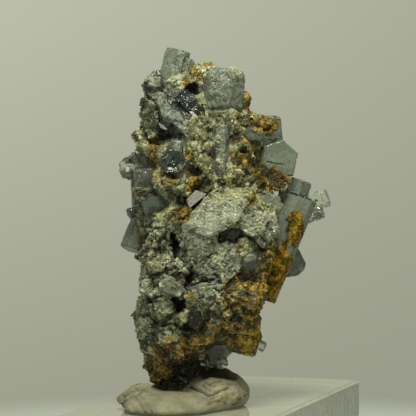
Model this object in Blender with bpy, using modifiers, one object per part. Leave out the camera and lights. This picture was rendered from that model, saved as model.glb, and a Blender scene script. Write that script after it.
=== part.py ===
"""Aquamarine specimen: beryl crystals on a crumbly mica and feldspar matrix, held upright by a lump
of putty on a clear acrylic slab.

Lengths are in metres, written as millimetres times MM. The specimen's own axis stands on the
slab's top face: +X is to the viewer's right, -Y is towards the viewer and +Z is up. The finished
object has its origin at the middle of the slab's underside.
"""

import math
import random
from dataclasses import dataclass

import bmesh
import bpy
from mathutils import Matrix, Vector, noise

MM = 0.001

# Driving sizes
GAP = 0.3 * MM
SLAB_WIDTH = 36.5 * MM
SLAB_LENGTH = 76.0 * MM
SLAB_THICKNESS = 12.0 * MM
SLAB_EDGE = 0.5 * MM
SLAB_TURN = math.radians(-19.0)
SPECIMEN_PLACE = (-1.7, -11.4)

ROCK_VOXEL = 0.75 * MM
ROCK_TRIANGLES = 4400
COBBLE_SIZE = 3.1 * MM
COBBLE_HEIGHT = 0.75 * MM
COBBLE_CONTRAST = 2.2
CRAG_SIZE = 7.5 * MM
CRAG_HEIGHT = 0.9 * MM
CHUNK_BEVEL = 0.42
CHUNK_SKEW = 0.11
CHUNK_TILT = 24
CHUNK_SPIN = 30
PIT_ROUGHNESS = 0.3

PUTTY_VOXEL = 0.7 * MM
PUTTY_TRIANGLES = 1500
PUTTY_RIPPLE_SIZE = 3.4 * MM
PUTTY_RIPPLE_HEIGHT = 0.25 * MM
FLOOR_CUTTER_SIZE = 60 * MM
DENT_CLEARANCE = 0.48 * MM
DENT_VOXEL = 0.45 * MM
DENT_DETAIL = 0.2
PUTTY_SHARP_ANGLE = math.radians(50)

# Colours, read as linear RGB
ROCK_COLOUR = (0.30, 0.29, 0.20, 1.0)
AQUA_COLOUR = (0.24, 0.30, 0.27, 1.0)
CLEAR_COLOUR = (0.62, 0.64, 0.55, 1.0)
PUTTY_COLOUR = (0.42, 0.38, 0.28, 1.0)
ACRYLIC_COLOUR = (0.70, 0.72, 0.64, 1.0)

# The rock's core, from the root up: height, left, right, front and back, in millimetres
CORE_SECTIONS = (
    (2.6, -8.9, -5.0, -3.6, 2.2),
    (4.4, -9.8, -3.6, -4.6, 3.6),
    (7.0, -10.5, -2.0, -5.6, 5.2),
    (9.4, -10.9, 0.4, -6.8, 6.6),
    (11.0, -11.2, 6.6, -7.8, 7.6),
    (14.0, -11.8, 7.8, -8.8, 8.6),
    (17.6, -11.8, 8.8, -10.0, 9.8),
    (21.6, -11.6, 10.6, -10.8, 10.8),
    (26.0, -11.2, 12.2, -11.4, 11.2),
    (30.4, -11.4, 13.0, -11.4, 11.4),
    (34.6, -11.9, 12.6, -10.8, 11.2),
    (38.6, -12.2, 11.6, -9.8, 10.6),
    (43.0, -12.2, 10.2, -9.0, 9.6),
    (47.4, -11.4, 9.6, -8.0, 8.6),
    (51.0, -11.0, 8.6, -6.6, 7.4),
    (54.4, -10.8, 5.2, -4.6, 6.0),
    (57.6, -9.6, 2.2, -3.0, 4.6),
    (59.2, -7.8, 0.8, -1.6, 3.2),
)
SECTION_POINTS = 28
SECTION_SQUARENESS = 0.74

# Chunks of matrix on the core: place, half sizes and turn, in millimetres and degrees
CHUNKS = (
    # front, lower left: broken grey blocks
    ((-6.2, -11.8, 21.9), (2.3, 1.9, 1.4), 3),
    ((-8.0, -10.4, 18.6), (2.0, 1.8, 1.5), -11),
    ((-2.6, -11.6, 19.5), (1.8, 1.4, 1.1), 23),
    ((-4.0, -12.2, 17.0), (1.3, 1.2, 1.0), 13),
    ((-8.0, -8.8, 13.6), (3.6, 2.6, 2.7), -9),
    ((-5.6, -9.6, 11.8), (2.6, 2.0, 2.0), 27),
    ((-10.6, -7.2, 23.4), (1.9, 2.2, 1.9), 15),
    ((-10.4, -7.8, 27.2), (1.9, 2.2, 1.7), -20),
    ((-7.8, -10.6, 26.2), (1.8, 1.6, 1.5), 37),
    ((-5.0, -11.2, 25.6), (1.3, 1.4, 1.7), -5),
    ((-8.8, -8.8, 30.6), (2.0, 2.0, 1.9), 9),
    ((-6.2, -6.6, 9.2), (3.4, 2.4, 2.4), -10),
    ((-7.4, -3.0, 5.0), (2.0, 2.2, 2.2), 5),
    # front, lower right: rusty blocks that step back to the right
    ((0.4, -11.6, 19.9), (2.6, 1.8, 1.7), -7),
    ((2.2, -10.4, 16.4), (2.5, 2.0, 2.0), 17),
    ((5.6, -10.6, 20.4), (2.2, 1.9, 2.0), 26),
    ((6.0, -8.4, 16.0), (2.2, 2.0, 2.2), -17),
    ((-0.8, -9.4, 13.6), (2.3, 1.8, 1.8), 35),
    ((8.6, -8.4, 22.6), (1.9, 2.0, 2.1), -2),
    ((5.2, -5.4, 12.6), (2.5, 2.4, 1.9), 9),
    ((7.0, -2.0, 11.6), (1.5, 2.2, 1.7), -8),
    ((-1.2, -6.4, 10.8), (2.0, 2.0, 1.5), -23),
    # front, middle: the rim of the broad silvery faces
    ((-6.2, -10.2, 33.4), (2.1, 1.8, 1.7), 31),
    ((-3.6, -11.0, 34.9), (1.4, 1.4, 1.3), -15),
    ((9.4, -9.6, 30.4), (2.3, 1.8, 2.2), -13),
    ((9.0, -9.2, 26.6), (2.0, 1.8, 1.6), 12),
    ((-9.8, -8.4, 33.8), (1.8, 1.8, 1.3), -4),
    # front, upper: cream crumbs between the crystals
    ((-4.8, -10.4, 38.9), (1.7, 1.5, 1.3), 0),
    ((-7.8, -9.8, 39.6), (1.9, 1.4, 1.2), 20),
    ((-1.4, -10.0, 42.6), (1.9, 1.7, 1.9), -21),
    ((-0.8, -9.8, 46.4), (1.5, 1.6, 1.6), 23),
    ((4.6, -9.2, 41.6), (2.2, 1.8, 1.8), 35),
    ((6.2, -8.6, 45.2), (2.0, 1.7, 1.5), 12),
    ((9.2, -7.2, 41.0), (2.1, 1.7, 1.7), -12),
    ((10.0, -6.4, 38.4), (1.7, 1.5, 1.1), 27),
    ((-1.8, -8.2, 50.0), (1.3, 1.5, 1.7), 24),
    ((3.4, -7.4, 51.6), (2.4, 1.5, 1.2), -24),
    ((5.6, -6.6, 49.2), (1.4, 1.4, 1.3), 5),
    ((8.8, -3.6, 50.6), (2.1, 2.2, 1.3), 1),
    ((6.5, -1.6, 54.6), (0.8, 1.2, 1.5), 3),
    ((-9.8, -7.0, 45.4), (1.9, 1.7, 1.4), 7),
    ((-11.0, -4.8, 48.0), (1.4, 1.9, 2.3), -16),
    ((-10.8, -2.6, 53.8), (1.2, 2.0, 2.6), 13),
    ((-1.2, -1.4, 60.0), (1.5, 1.6, 1.1), -6),
    ((0.8, -0.8, 60.7), (1.2, 1.2, 0.8), 10),
    ((-2.2, -3.0, 56.6), (1.0, 1.2, 1.2), -26),
    ((-1.0, -5.0, 53.6), (1.1, 1.2, 1.2), 15),
    # sides and back
    ((11.4, 2.2, 33.0), (2.0, 3.0, 3.4), -9),
    ((10.6, 3.0, 22.4), (1.8, 3.0, 2.8), 13),
    ((-11.4, 2.6, 41.0), (1.7, 2.8, 3.0), -22),
    ((-10.8, 3.4, 30.4), (1.9, 3.0, 3.4), 23),
    ((-10.4, 1.2, 17.0), (1.8, 3.0, 2.6), -1),
    ((-5.6, 9.8, 31.4), (3.6, 2.2, 3.2), -18),
    ((4.6, 10.2, 33.0), (3.4, 2.0, 2.8), 14),
    ((-5.4, 8.4, 43.4), (3.0, 2.2, 2.6), 33),
    ((5.0, 8.2, 45.2), (2.8, 2.0, 2.4), -11),
    ((-3.0, 6.2, 53.0), (2.8, 1.8, 2.2), 4),
    ((-4.6, 8.8, 22.8), (3.2, 2.4, 2.6), 18),
    ((5.6, 8.2, 18.6), (2.6, 2.2, 2.6), -19),
    ((-6.8, 5.8, 13.2), (2.8, 2.4, 2.8), 10),
    ((2.0, 6.2, 13.6), (2.6, 2.0, 2.0), 27),
)

# Open pits and cracks: place, half sizes and turn, in millimetres and degrees
PITS = (
    ((3.6, -13.4, 30.9), (1.7, 1.9, 1.0), 10),
    ((-6.1, -12.4, 29.6), (0.8, 2.2, 1.6), -6),
    ((-5.4, -12.6, 24.3), (1.5, 1.6, 0.8), 16),
    ((-3.1, -13.2, 23.4), (0.5, 1.8, 1.3), -24),
    ((-5.4, -11.8, 18.9), (0.8, 2.2, 1.1), 30),
    ((-9.4, -10.0, 20.6), (1.6, 1.6, 0.5), 12),
    ((-2.4, -4.2, 56.6), (1.8, 2.4, 1.1), 8),
    ((-3.1, -11.4, 42.2), (0.9, 2.4, 1.7), -35),
    ((-9.2, -10.0, 46.9), (0.9, 2.2, 1.1), 35),
    ((-4.4, -12.2, 36.6), (1.0, 1.6, 0.9), -20),
    ((-10.8, -10.4, 37.9), (1.6, 1.8, 0.6), 14),
    ((7.7, -9.4, 43.3), (0.8, 2.0, 0.8), 35),
    ((2.6, -14.0, 22.6), (2.8, 1.8, 0.5), -4),
    ((8.1, -11.6, 28.0), (1.1, 1.8, 1.1), -42),
    ((9.6, -10.4, 24.8), (0.5, 1.8, 1.9), -8),
    ((4.4, -12.2, 18.2), (1.2, 1.6, 0.5), 18),
    ((-4.2, -9.4, 9.4), (1.1, 1.6, 0.6), 55),
    ((-7.9, -11.4, 16.6), (1.3, 1.6, 0.4), -10),
    ((-1.0, 12.6, 28.0), (2.4, 2.0, 1.1), 20),
    ((7.2, 11.0, 38.6), (1.2, 2.2, 1.6), -15),
    ((-8.4, 10.0, 36.6), (1.3, 2.2, 1.7), 30),
    ((0.6, 10.4, 41.4), (1.0, 2.0, 1.5), 65),
)


@dataclass(frozen=True)
class Prism:
    """One hexagonal prism: the middle of its free end, the way it points, and its sizes in mm."""

    tip: tuple
    out: tuple
    width: float
    length: float
    twist: float = 0.0
    sides: tuple = (1.0, 1.0, 1.0, 1.0, 1.0, 1.0)
    chamfer: float = 0.12


# Crystals, each node a single prism or several that grew through one another
CRYSTALS = {
    "crown_crystal": (
        Prism((-5.4, 1.6, 64.0), (0.23, 0.03, 0.97), 3.8, 8.0, 30, (1, 0.8, 1, 1, 0.8, 1)),
        Prism((-3.4, 1.2, 62.3), (0.20, 0.02, 0.98), 1.8, 4.6, 12, chamfer=0.3),
    ),
    "shoulder_crystal": (
        Prism((-10.2, -3.4, 58.4), (-0.20, -0.24, 0.95), 3.7, 3.6, 12, chamfer=0.7),
    ),
    "glassy_crystal": (
        Prism((-4.9, -7.0, 53.1), (0.36, -0.68, 0.64), 8.0, 5.4, 14, (1, 0.95, 1.03, 1, 0.9, 1)),
    ),
    "upper_right_crystal": (
        Prism((3.0, -3.0, 60.0), (0.06, -0.10, 0.99), 6.3, 7.0, 18, (1, 0.92, 1.06, 1, 1, 0.95), 0.5),
    ),
    "dark_hexagon_crystal": (
        Prism((-6.1, -11.2, 43.6), (-0.04, -0.99, -0.06), 4.3, 6.4, 30, (1, 1, 0.96, 1, 1.03, 1), 0.35),
        Prism((-5.4, -10.6, 47.2), (0.02, -0.16, 0.98), 2.1, 3.0, 30, chamfer=0.15),
    ),
    "left_block_crystal": (
        Prism((-11.3, -7.0, 42.3), (-0.12, -0.16, 0.98), 3.2, 4.4, 36),
    ),
    "left_edge_crystal": (Prism((-12.3, -2.2, 41.6), (-0.05, 0.0, 0.99), 2.5, 6.0, 8),),
    "left_spur_crystal": (
        Prism((-13.8, -4.2, 44.9), (-0.70, -0.35, 0.62), 1.8, 3.6, 0, chamfer=0.3),
    ),
    "left_tip_crystal": (Prism((-15.6, -5.6, 42.4), (-0.92, -0.35, 0.15), 1.7, 3.0, 15, chamfer=0.3),),
    "left_middle_crystal": (
        Prism((-10.8, -9.2, 36.0), (-0.90, -0.42, -0.04), 2.9, 6.4, 26, (1, 1.1, 1, 1, 1, 1)),
    ),
    "left_small_crystal": (Prism((-14.1, -5.6, 34.4), (-0.84, -0.40, -0.36), 1.8, 2.6, 40),),
    "left_lower_crystal": (
        Prism((-13.7, -3.4, 28.0), (-0.34, -0.26, -0.90), 3.7, 5.6, 22, chamfer=0.2),
    ),
    "lilac_crystal": (Prism((-1.9, -10.9, 37.1), (-0.22, -0.90, 0.40), 3.4, 3.6, 20),),
    "column_crystal": (Prism((2.2, -9.2, 49.7), (0.0, -0.03, 1.0), 2.1, 8.0, 30),),
    "right_dark_crystal": (
        Prism((8.1, -7.4, 48.5), (0.12, -0.95, 0.26), 3.0, 4.4, 30, (1, 0.7, 1, 1, 0.75, 1)),
    ),
    "right_upper_crystal": (Prism((11.1, 2.8, 51.9), (-0.10, 0.03, 0.99), 3.2, 6.6, 24, chamfer=0.5),),
    "right_hexagon_crystal": (
        Prism((12.5, -4.4, 44.0), (0.16, -0.98, 0.08), 5.9, 5.0, -12, (1, 1.02, 1, 0.95, 1, 1.06)),
    ),
    "right_large_crystal": (
        Prism((16.4, -2.6, 37.6), (0.385, 0.0, 0.923), 5.2, 19.2, 30, (1, 0.64, 1, 1, 0.62, 1), 0.15),
        Prism((16.1, 0.6, 40.4), (0.28, 0.06, 0.96), 4.3, 7.0, 18, chamfer=0.2),
    ),
    "right_inner_crystal": (Prism((10.9, -9.2, 36.2), (0.16, -0.95, 0.26), 3.9, 4.0, 10),),
    "clear_twin_crystal": (
        Prism((21.6, 1.6, 37.4), (0.92, -0.22, 0.32), 2.7, 5.2, 10, chamfer=0.1),
        Prism((20.6, 1.4, 34.9), (0.92, -0.20, 0.34), 2.1, 4.6, 24, chamfer=0.1),
    ),
    "right_lower_crystal": (
        Prism((15.7, 2.2, 25.4), (0.80, -0.48, -0.35), 4.4, 6.0, 14, (1, 1, 1.1, 1, 1, 1), 0.3),
    ),
    "root_clear_crystal": (
        Prism((1.8, -7.6, 10.0), (0.30, -0.88, -0.36), 4.3, 6.2, 20, chamfer=0.5),
        Prism((2.6, -7.0, 8.0), (0.30, -0.80, -0.50), 1.8, 3.8, 5, chamfer=0.2),
        Prism((0.4, -6.9, 8.3), (-0.10, -0.84, -0.50), 1.9, 3.4, 12, chamfer=0.2),
    ),
    "spur_crystal": (Prism((10.2, -0.8, 10.4), (0.86, -0.30, -0.42), 1.8, 3.6, 18),),
    "dark_low_crystal": (Prism((-2.1, -12.0, 16.4), (0.14, -0.95, -0.28), 2.6, 3.6, 10),),
    "lens_crystal": (Prism((7.3, -12.3, 26.2), (0.22, -0.95, -0.20), 2.3, 3.4, 35),),
    "pit_crystal": (Prism((4.4, -11.4, 30.5), (0.10, -0.95, -0.30), 2.4, 3.0, 20),),
    "back_top_crystal": (Prism((-2.6, 5.0, 58.9), (-0.10, 0.40, 0.91), 3.4, 6.0, 15, chamfer=0.3),),
    "back_upper_crystal": (
        Prism((4.0, 9.8, 49.4), (0.20, 0.84, 0.50), 5.2, 6.6, 8, (1, 1, 0.94, 1, 1.05, 1)),
    ),
    "back_left_crystal": (Prism((-8.8, 9.6, 46.0), (-0.48, 0.80, 0.30), 4.4, 6.6, 18),),
    "back_middle_crystal": (
        Prism((-1.2, 13.4, 36.2), (-0.10, 0.98, 0.16), 6.0, 6.6, 28, (1, 0.95, 1, 1.05, 1, 1)),
    ),
    "back_right_crystal": (
        Prism((9.8, 10.6, 41.0), (0.50, 0.82, 0.22), 4.8, 6.6, 5, chamfer=0.3),
    ),
    "back_low_crystal": (Prism((1.2, 12.6, 21.4), (0.06, 0.94, -0.32), 4.4, 5.6, 12),),
    "back_low_left_crystal": (Prism((-9.2, 9.6, 25.8), (-0.60, 0.78, 0.12), 3.6, 5.6, 32),),
    "back_spur_crystal": (Prism((8.4, 11.4, 28.4), (0.42, 0.88, -0.20), 3.0, 4.6, 9, chamfer=0.3),),
    "side_left_crystal": (Prism((-12.6, 4.6, 36.8), (-0.92, 0.36, 0.12), 3.2, 4.6, 24),),
    "side_right_crystal": (Prism((14.0, 6.6, 33.4), (0.84, 0.52, 0.06), 3.6, 5.0, 16),),
}
# Flat cleavage faces of the matrix, as blocks of feldspar joined to it
LEDGES = (
    # the bright upper face with its straight upper left edge
    Prism((1.8, -12.7, 35.0), (-0.12, -0.97, 0.20), 9.0, 5.0, 16.6, (1.2, 0.87, 0.73, 1.31, 0.76, 0.82)),
    # the duller face under it
    Prism((1.6, -12.1, 26.6), (-0.05, -0.99, -0.08), 9.0, 5.0, -9, (0.88, 0.86, 0.98, 1.2, 0.86, 0.95)),
    # the step to the right of both
    Prism((9.4, -11.0, 33.6), (0.20, -0.96, 0.16), 6.0, 5.0, 10, (0.9, 0.95, 1.0, 0.95, 1.0, 1.1)),
    # the rusty shelf over the putty
    Prism((5.6, -7.6, 12.2), (0.08, -0.94, -0.30), 5.0, 6.5, 0, (1.15, 1.0, 1.1, 1.2, 0.75, 0.9)),
)
# Crystals that stop at the face of another, a gap away
ABUTS = {"clear_twin_crystal": ("right_large_crystal",)}
CLEAR_CRYSTALS = ("clear_twin_crystal", "root_clear_crystal", "spur_crystal")

# The putty, as rolls pressed together: place, half sizes and turn, in millimetres and degrees
PUTTY_ROLLS = (
    ((-6.6, -9.0, 1.2), (8.2, 6.2, 2.3), 4),
    ((-11.0, -5.2, 1.7), (4.3, 5.6, 2.7), 12),
    ((1.4, -5.6, 1.7), (6.2, 5.4, 2.9), -20),
    ((2.6, 0.8, 2.4), (5.2, 4.4, 3.9), -22),
    ((-4.6, 2.4, 1.8), (7.0, 4.6, 2.7), 6),
    ((0.8, -4.8, 2.8), (4.2, 2.8, 2.2), 24),
)


def clear_scene():
    """Remove every object that the scene starts with."""
    for obj in list(bpy.data.objects):
        bpy.data.objects.remove(obj, do_unlink=True)


def new_collection(name):
    """A collection linked to the scene."""
    collection = bpy.data.collections.new(name)
    bpy.context.scene.collection.children.link(collection)
    return collection


def material(name, colour, roughness, transmission=0.0):
    """A Principled BSDF with a colour, a roughness and a share of light let through."""
    made = bpy.data.materials.new(name)
    made.use_nodes = True
    shader = made.node_tree.nodes["Principled BSDF"]
    shader.inputs["Base Color"].default_value = colour
    shader.inputs["Roughness"].default_value = roughness
    shader.inputs["Metallic"].default_value = 0.0
    shader.inputs["Transmission Weight"].default_value = transmission
    return made


def add_object(name, mesh, collection, finish=None):
    """An object around a mesh, with its material."""
    obj = bpy.data.objects.new(name, mesh)
    if finish is not None:
        mesh.materials.append(finish)
    collection.objects.link(obj)
    return obj


def mesh_from(bm, name):
    """A mesh made from a bmesh, which is freed."""
    bmesh.ops.recalc_face_normals(bm, faces=bm.faces)
    mesh = bpy.data.meshes.new(name)
    bm.to_mesh(mesh)
    bm.free()
    return mesh


def baked(obj, name):
    """The object's mesh with its modifiers applied."""
    graph = bpy.context.evaluated_depsgraph_get()
    mesh = bpy.data.meshes.new_from_object(obj.evaluated_get(graph))
    mesh.name = name
    return mesh


def add_remesh(obj, voxel):
    """Fuse what overlaps into one skin of even quads."""
    modifier = obj.modifiers.new("Fuse", "REMESH")
    modifier.mode = "VOXEL"
    modifier.voxel_size = voxel


def add_decimate(obj, share):
    """Thin the skin to a share of its triangles, which leaves chipped facets."""
    modifier = obj.modifiers.new("Chip", "DECIMATE")
    modifier.ratio = min(1.0, share)
    modifier.use_collapse_triangulate = True


def core_ring(height, left, right, front, back):
    """The points of one section of the core, a rounded box between its four sides."""
    middle = Vector(((left + right) / 2, (front + back) / 2, height)) * MM
    half_x = (right - left) / 2 * MM
    half_y = (back - front) / 2 * MM
    points = []
    for step in range(SECTION_POINTS):
        angle = 2 * math.pi * step / SECTION_POINTS
        x = math.copysign(abs(math.cos(angle)) ** SECTION_SQUARENESS, math.cos(angle))
        y = math.copysign(abs(math.sin(angle)) ** SECTION_SQUARENESS, math.sin(angle))
        points.append(middle + Vector((half_x * x, half_y * y, 0.0)))
    return points


def core_bmesh():
    """The core as a loft through its sections, closed at the root and the top."""
    bm = bmesh.new()
    rings = [[bm.verts.new(point) for point in core_ring(*section)] for section in CORE_SECTIONS]
    for lower, upper in zip(rings, rings[1:]):
        for step in range(SECTION_POINTS):
            after = (step + 1) % SECTION_POINTS
            bm.faces.new((lower[step], lower[after], upper[after], upper[step]))
    bm.faces.new(list(reversed(rings[0])))
    bm.faces.new(rings[-1])
    return bm


def add_chunk(bm, place, half_sizes, turn, seed):
    """Add an angular chunk: a bevelled box, turned and knocked out of true."""
    draw = random.Random(seed)
    tilt = Matrix.Rotation(math.radians(draw.uniform(-CHUNK_TILT, CHUNK_TILT)), 4, "X")
    lean = Matrix.Rotation(math.radians(turn), 4, "Y")
    spin = Matrix.Rotation(math.radians(draw.uniform(-CHUNK_SPIN, CHUNK_SPIN)), 4, "Z")
    size = Matrix.Diagonal((*(2 * half * MM for half in half_sizes), 1.0))
    where = Matrix.Translation(Vector(place) * MM)
    made = bmesh.ops.create_cube(bm, size=1.0)["verts"]
    for vert in made:
        vert.co += Vector([draw.uniform(-CHUNK_SKEW, CHUNK_SKEW) for _ in range(3)])
    bmesh.ops.transform(bm, matrix=where @ spin @ lean @ tilt @ size, verts=made)
    edges = {edge for vert in made for edge in vert.link_edges}
    width = CHUNK_BEVEL * MM * min(half_sizes)
    bmesh.ops.bevel(bm, geom=list(edges), offset=width, segments=1, affect="EDGES", profile=0.5)


def weathering(point):
    """How far weathering moves a point of the rock: crags, with cobbles and creases on them."""
    crag = noise.noise(point / CRAG_SIZE)
    near, second = noise.voronoi(point / COBBLE_SIZE)[0][:2]
    cobble = min(1.0, (second - near) * COBBLE_CONTRAST) - 0.5
    return CRAG_HEIGHT * crag + COBBLE_HEIGHT * cobble


def weather(mesh):
    """Move each point of the rock along its normal by its weathering."""
    moves = [vert.normal * weathering(vert.co) for vert in mesh.vertices]
    for vert, move in zip(mesh.vertices, moves):
        vert.co += move


def prism_outline(prism, grown):
    """The six corners of a prism's end, where neighbouring side faces meet."""
    distances = [prism.width / 2 * MM * side + grown for side in prism.sides]
    corners = []
    for k in range(6):
        angle = math.radians(60 * k + 30)
        here, after = distances[k], distances[(k + 1) % 6]
        radial = (here + after) / (2 * math.cos(math.radians(30)))
        across = (after - here) / (2 * math.sin(math.radians(30)))
        along = Vector((math.cos(angle), math.sin(angle)))
        square = Vector((-math.sin(angle), math.cos(angle)))
        corners.append(along * radial + square * across)
    return corners


def prism_matrix(prism):
    """The frame of a prism: its origin at the tip, its Z the way it points."""
    out = Vector(prism.out).normalized()
    right = Vector((1.0, 0.0, 0.0))
    side = (right - out * right.dot(out)).normalized()
    up = out.cross(side)
    turn = Matrix((side, up, out)).transposed().to_4x4()
    place = Matrix.Translation(Vector(prism.tip) * MM)
    return place @ turn @ Matrix.Rotation(math.radians(prism.twist), 4, "Z")


def prism_mesh(prism, name, grown=0.0):
    """A hexagonal prism below the origin, with a narrow pyramid face along each edge of its top."""
    bm = bmesh.new()
    depth = prism.length * MM + 2 * grown
    middle = Matrix.Translation((0.0, 0.0, grown - depth / 2))
    bmesh.ops.create_cone(
        bm, cap_ends=True, segments=6, radius1=1.0, radius2=1.0, depth=depth, matrix=middle
    )
    corners = prism_outline(prism, grown)
    for vert in bm.verts:
        nearest = min(corners, key=lambda corner: vert.co.xy.normalized().angle(corner.normalized()))
        vert.co.xy = nearest
    rim = [edge for edge in bm.edges if all(vert.co.z > grown - depth / 4 for vert in edge.verts)]
    bmesh.ops.bevel(bm, geom=rim, offset=prism.chamfer * MM, segments=1, affect="EDGES", profile=0.5)
    return mesh_from(bm, name)


def boolean(obj, other, operation):
    """Join or cut one object with another, by the exact solver."""
    modifier = obj.modifiers.new(operation.title(), "BOOLEAN")
    modifier.operation = operation
    modifier.solver = "EXACT"
    if isinstance(other, bpy.types.Collection):
        modifier.operand_type = "COLLECTION"
        modifier.collection = other
    else:
        modifier.object = other


def add_helper(name, mesh, collection):
    """A cutter or guide, which no render shows."""
    helper = add_object(name, mesh, collection)
    helper.hide_render = True
    helper.display_type = "WIRE"
    return helper


def add_prism_helper(name, prism, collection, grown=0.0):
    """A prism as a cutter or guide, in the place of the prism it stands for."""
    helper = add_helper(name, prism_mesh(prism, name, grown), collection)
    helper.matrix_world = prism_matrix(prism)
    return helper


def add_crystal(name, prisms, parts, helpers, finish):
    """One crystal node: a prism, with any others that grew through it joined on."""
    crystal = add_object(name, prism_mesh(prisms[0], name), parts, finish)
    crystal.matrix_world = prism_matrix(prisms[0])
    for index, prism in enumerate(prisms[1:], 1):
        boolean(crystal, add_prism_helper(f"{name}_twin_{index}", prism, helpers), "UNION")
    for neighbour in ABUTS.get(name, ()):
        for index, prism in enumerate(CRYSTALS[neighbour]):
            edge = add_prism_helper(f"{name}_edge_{index}", prism, helpers, GAP)
            boolean(crystal, edge, "DIFFERENCE")


def add_pits(pits):
    """The cutters that open pits and cracks in the matrix."""
    for index, (place, half_sizes, turn) in enumerate(PITS):
        bm = bmesh.new()
        bmesh.ops.create_icosphere(bm, subdivisions=3, radius=1.0)
        for vert in bm.verts:
            vert.co *= 1.0 + PIT_ROUGHNESS * noise.noise(vert.co * 1.7 + Vector((index, 0.0, 0.0)))
        size = Matrix.Diagonal((*(half * MM for half in half_sizes), 1.0))
        bmesh.ops.transform(bm, matrix=size, verts=bm.verts)
        pit = add_helper(f"pit_{index}", mesh_from(bm, "pit"), pits)
        pit.location = Vector(place) * MM
        pit.rotation_euler.y = math.radians(-turn)


def connected_pieces(bm):
    """The vertices of each piece of a mesh that hangs together."""
    left = set(bm.verts)
    pieces = []
    while left:
        piece = set()
        front = [left.pop()]
        while front:
            vert = front.pop()
            piece.add(vert)
            near = {edge.other_vert(vert) for edge in vert.link_edges} & left
            left -= near
            front.extend(near)
        pieces.append(piece)
    return pieces


def keep_main_shell(obj):
    """Apply an object's modifiers and keep only its largest closed piece, dropping loose crumbs."""
    mesh = baked(obj, obj.name)
    bm = bmesh.new()
    bm.from_mesh(mesh)
    keep = max(connected_pieces(bm), key=len)
    bmesh.ops.delete(bm, geom=[vert for vert in bm.verts if vert not in keep], context="VERTS")
    bm.to_mesh(mesh)
    bm.free()
    obj.modifiers.clear()
    obj.data = mesh


def rock_mesh(pits):
    """The matrix before its crystals: core and chunks fused, weathered, pitted and chipped."""
    bm = core_bmesh()
    for seed, (place, half_sizes, turn) in enumerate(CHUNKS):
        add_chunk(bm, place, half_sizes, turn, seed)
    raw = add_object("rock_raw", mesh_from(bm, "rock_raw"), bpy.context.scene.collection)
    add_remesh(raw, ROCK_VOXEL)
    fused = baked(raw, "rock_fused")
    bpy.data.objects.remove(raw)
    weather(fused)
    rough = add_object("rock_rough", fused, bpy.context.scene.collection)
    boolean(rough, pits, "DIFFERENCE")
    add_remesh(rough, ROCK_VOXEL)
    starting = 2 * len(baked(rough, "rock_count").polygons)
    add_decimate(rough, ROCK_TRIANGLES / starting)
    chipped = baked(rough, "matrix")
    bpy.data.objects.remove(rough)
    return chipped


def add_matrix(parts, finish):
    """The matrix rock, with its pits, its flat faces and a socket for each crystal."""
    pits = new_collection("pits")
    ledges = new_collection("ledges")
    sockets = new_collection("sockets")
    add_pits(pits)
    for index, ledge in enumerate(LEDGES):
        add_prism_helper(f"ledge_{index}", ledge, ledges)
    for name, prisms in CRYSTALS.items():
        for index, prism in enumerate(prisms):
            add_prism_helper(f"socket_{name}_{index}", prism, sockets, GAP)
    rock = add_object("matrix_rock", rock_mesh(pits), parts, finish)
    boolean(rock, ledges, "UNION")
    boolean(rock, sockets, "DIFFERENCE")
    keep_main_shell(rock)
    return rock


def putty_blank(collection):
    """The putty before the rock is pressed in: its rolls fused, flat where it meets the slab."""
    bm = bmesh.new()
    for place, half_sizes, turn in PUTTY_ROLLS:
        made = bmesh.ops.create_uvsphere(bm, u_segments=24, v_segments=14, radius=1.0)["verts"]
        size = Matrix.Diagonal((*(half * MM for half in half_sizes), 1.0))
        spin = Matrix.Rotation(math.radians(turn), 4, "Z")
        bmesh.ops.transform(
            bm, matrix=Matrix.Translation(Vector(place) * MM) @ spin @ size, verts=made
        )
    raw = add_object("putty_raw", mesh_from(bm, "putty_raw"), collection)
    add_remesh(raw, PUTTY_VOXEL)
    soften = raw.modifiers.new("Soften", "SMOOTH")
    soften.factor = 0.5
    soften.iterations = 4
    fused = baked(raw, "putty")
    bpy.data.objects.remove(raw)
    for vert in fused.vertices:
        vert.co += vert.normal * PUTTY_RIPPLE_HEIGHT * noise.noise(vert.co / PUTTY_RIPPLE_SIZE)
    return fused


def add_putty(parts, helpers, rock, finish):
    """The lump of putty, cut flat just above the slab and dented where the rock's root sits."""
    putty = add_object("putty", putty_blank(parts), parts, finish)
    add_decimate(putty, PUTTY_TRIANGLES / (2 * len(putty.data.polygons)))
    cutter = bmesh.new()
    bmesh.ops.create_cube(cutter, size=FLOOR_CUTTER_SIZE)
    floor = add_helper("putty_floor", mesh_from(cutter, "putty_floor"), helpers)
    floor.location.z = GAP - FLOOR_CUTTER_SIZE / 2
    boolean(putty, floor, "DIFFERENCE")
    dent = add_helper("rock_dent", rock.data.copy(), helpers)
    swell = dent.modifiers.new("Swell", "DISPLACE")
    swell.mid_level = 0.0
    swell.strength = DENT_CLEARANCE
    add_remesh(dent, DENT_VOXEL)
    add_decimate(dent, DENT_DETAIL)
    boolean(putty, dent, "DIFFERENCE")
    keep_main_shell(putty)
    putty.data.shade_smooth()
    putty.data.set_sharp_from_angle(angle=PUTTY_SHARP_ANGLE)


def add_slab(parts, finish):
    """The acrylic slab, with its polished edges just broken."""
    bm = bmesh.new()
    bmesh.ops.create_cube(bm, size=1.0)
    size = Matrix.Diagonal((SLAB_WIDTH, SLAB_LENGTH, SLAB_THICKNESS, 1.0))
    bmesh.ops.transform(bm, matrix=size, verts=bm.verts)
    slab = add_object("acrylic_slab", mesh_from(bm, "acrylic_slab"), parts, finish)
    slab.location = (0.0, 0.0, SLAB_THICKNESS / 2)
    slab.rotation_euler = (0.0, 0.0, SLAB_TURN)
    edges = slab.modifiers.new("Edges", "BEVEL")
    edges.width = SLAB_EDGE
    edges.segments = 1
    return slab


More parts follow.
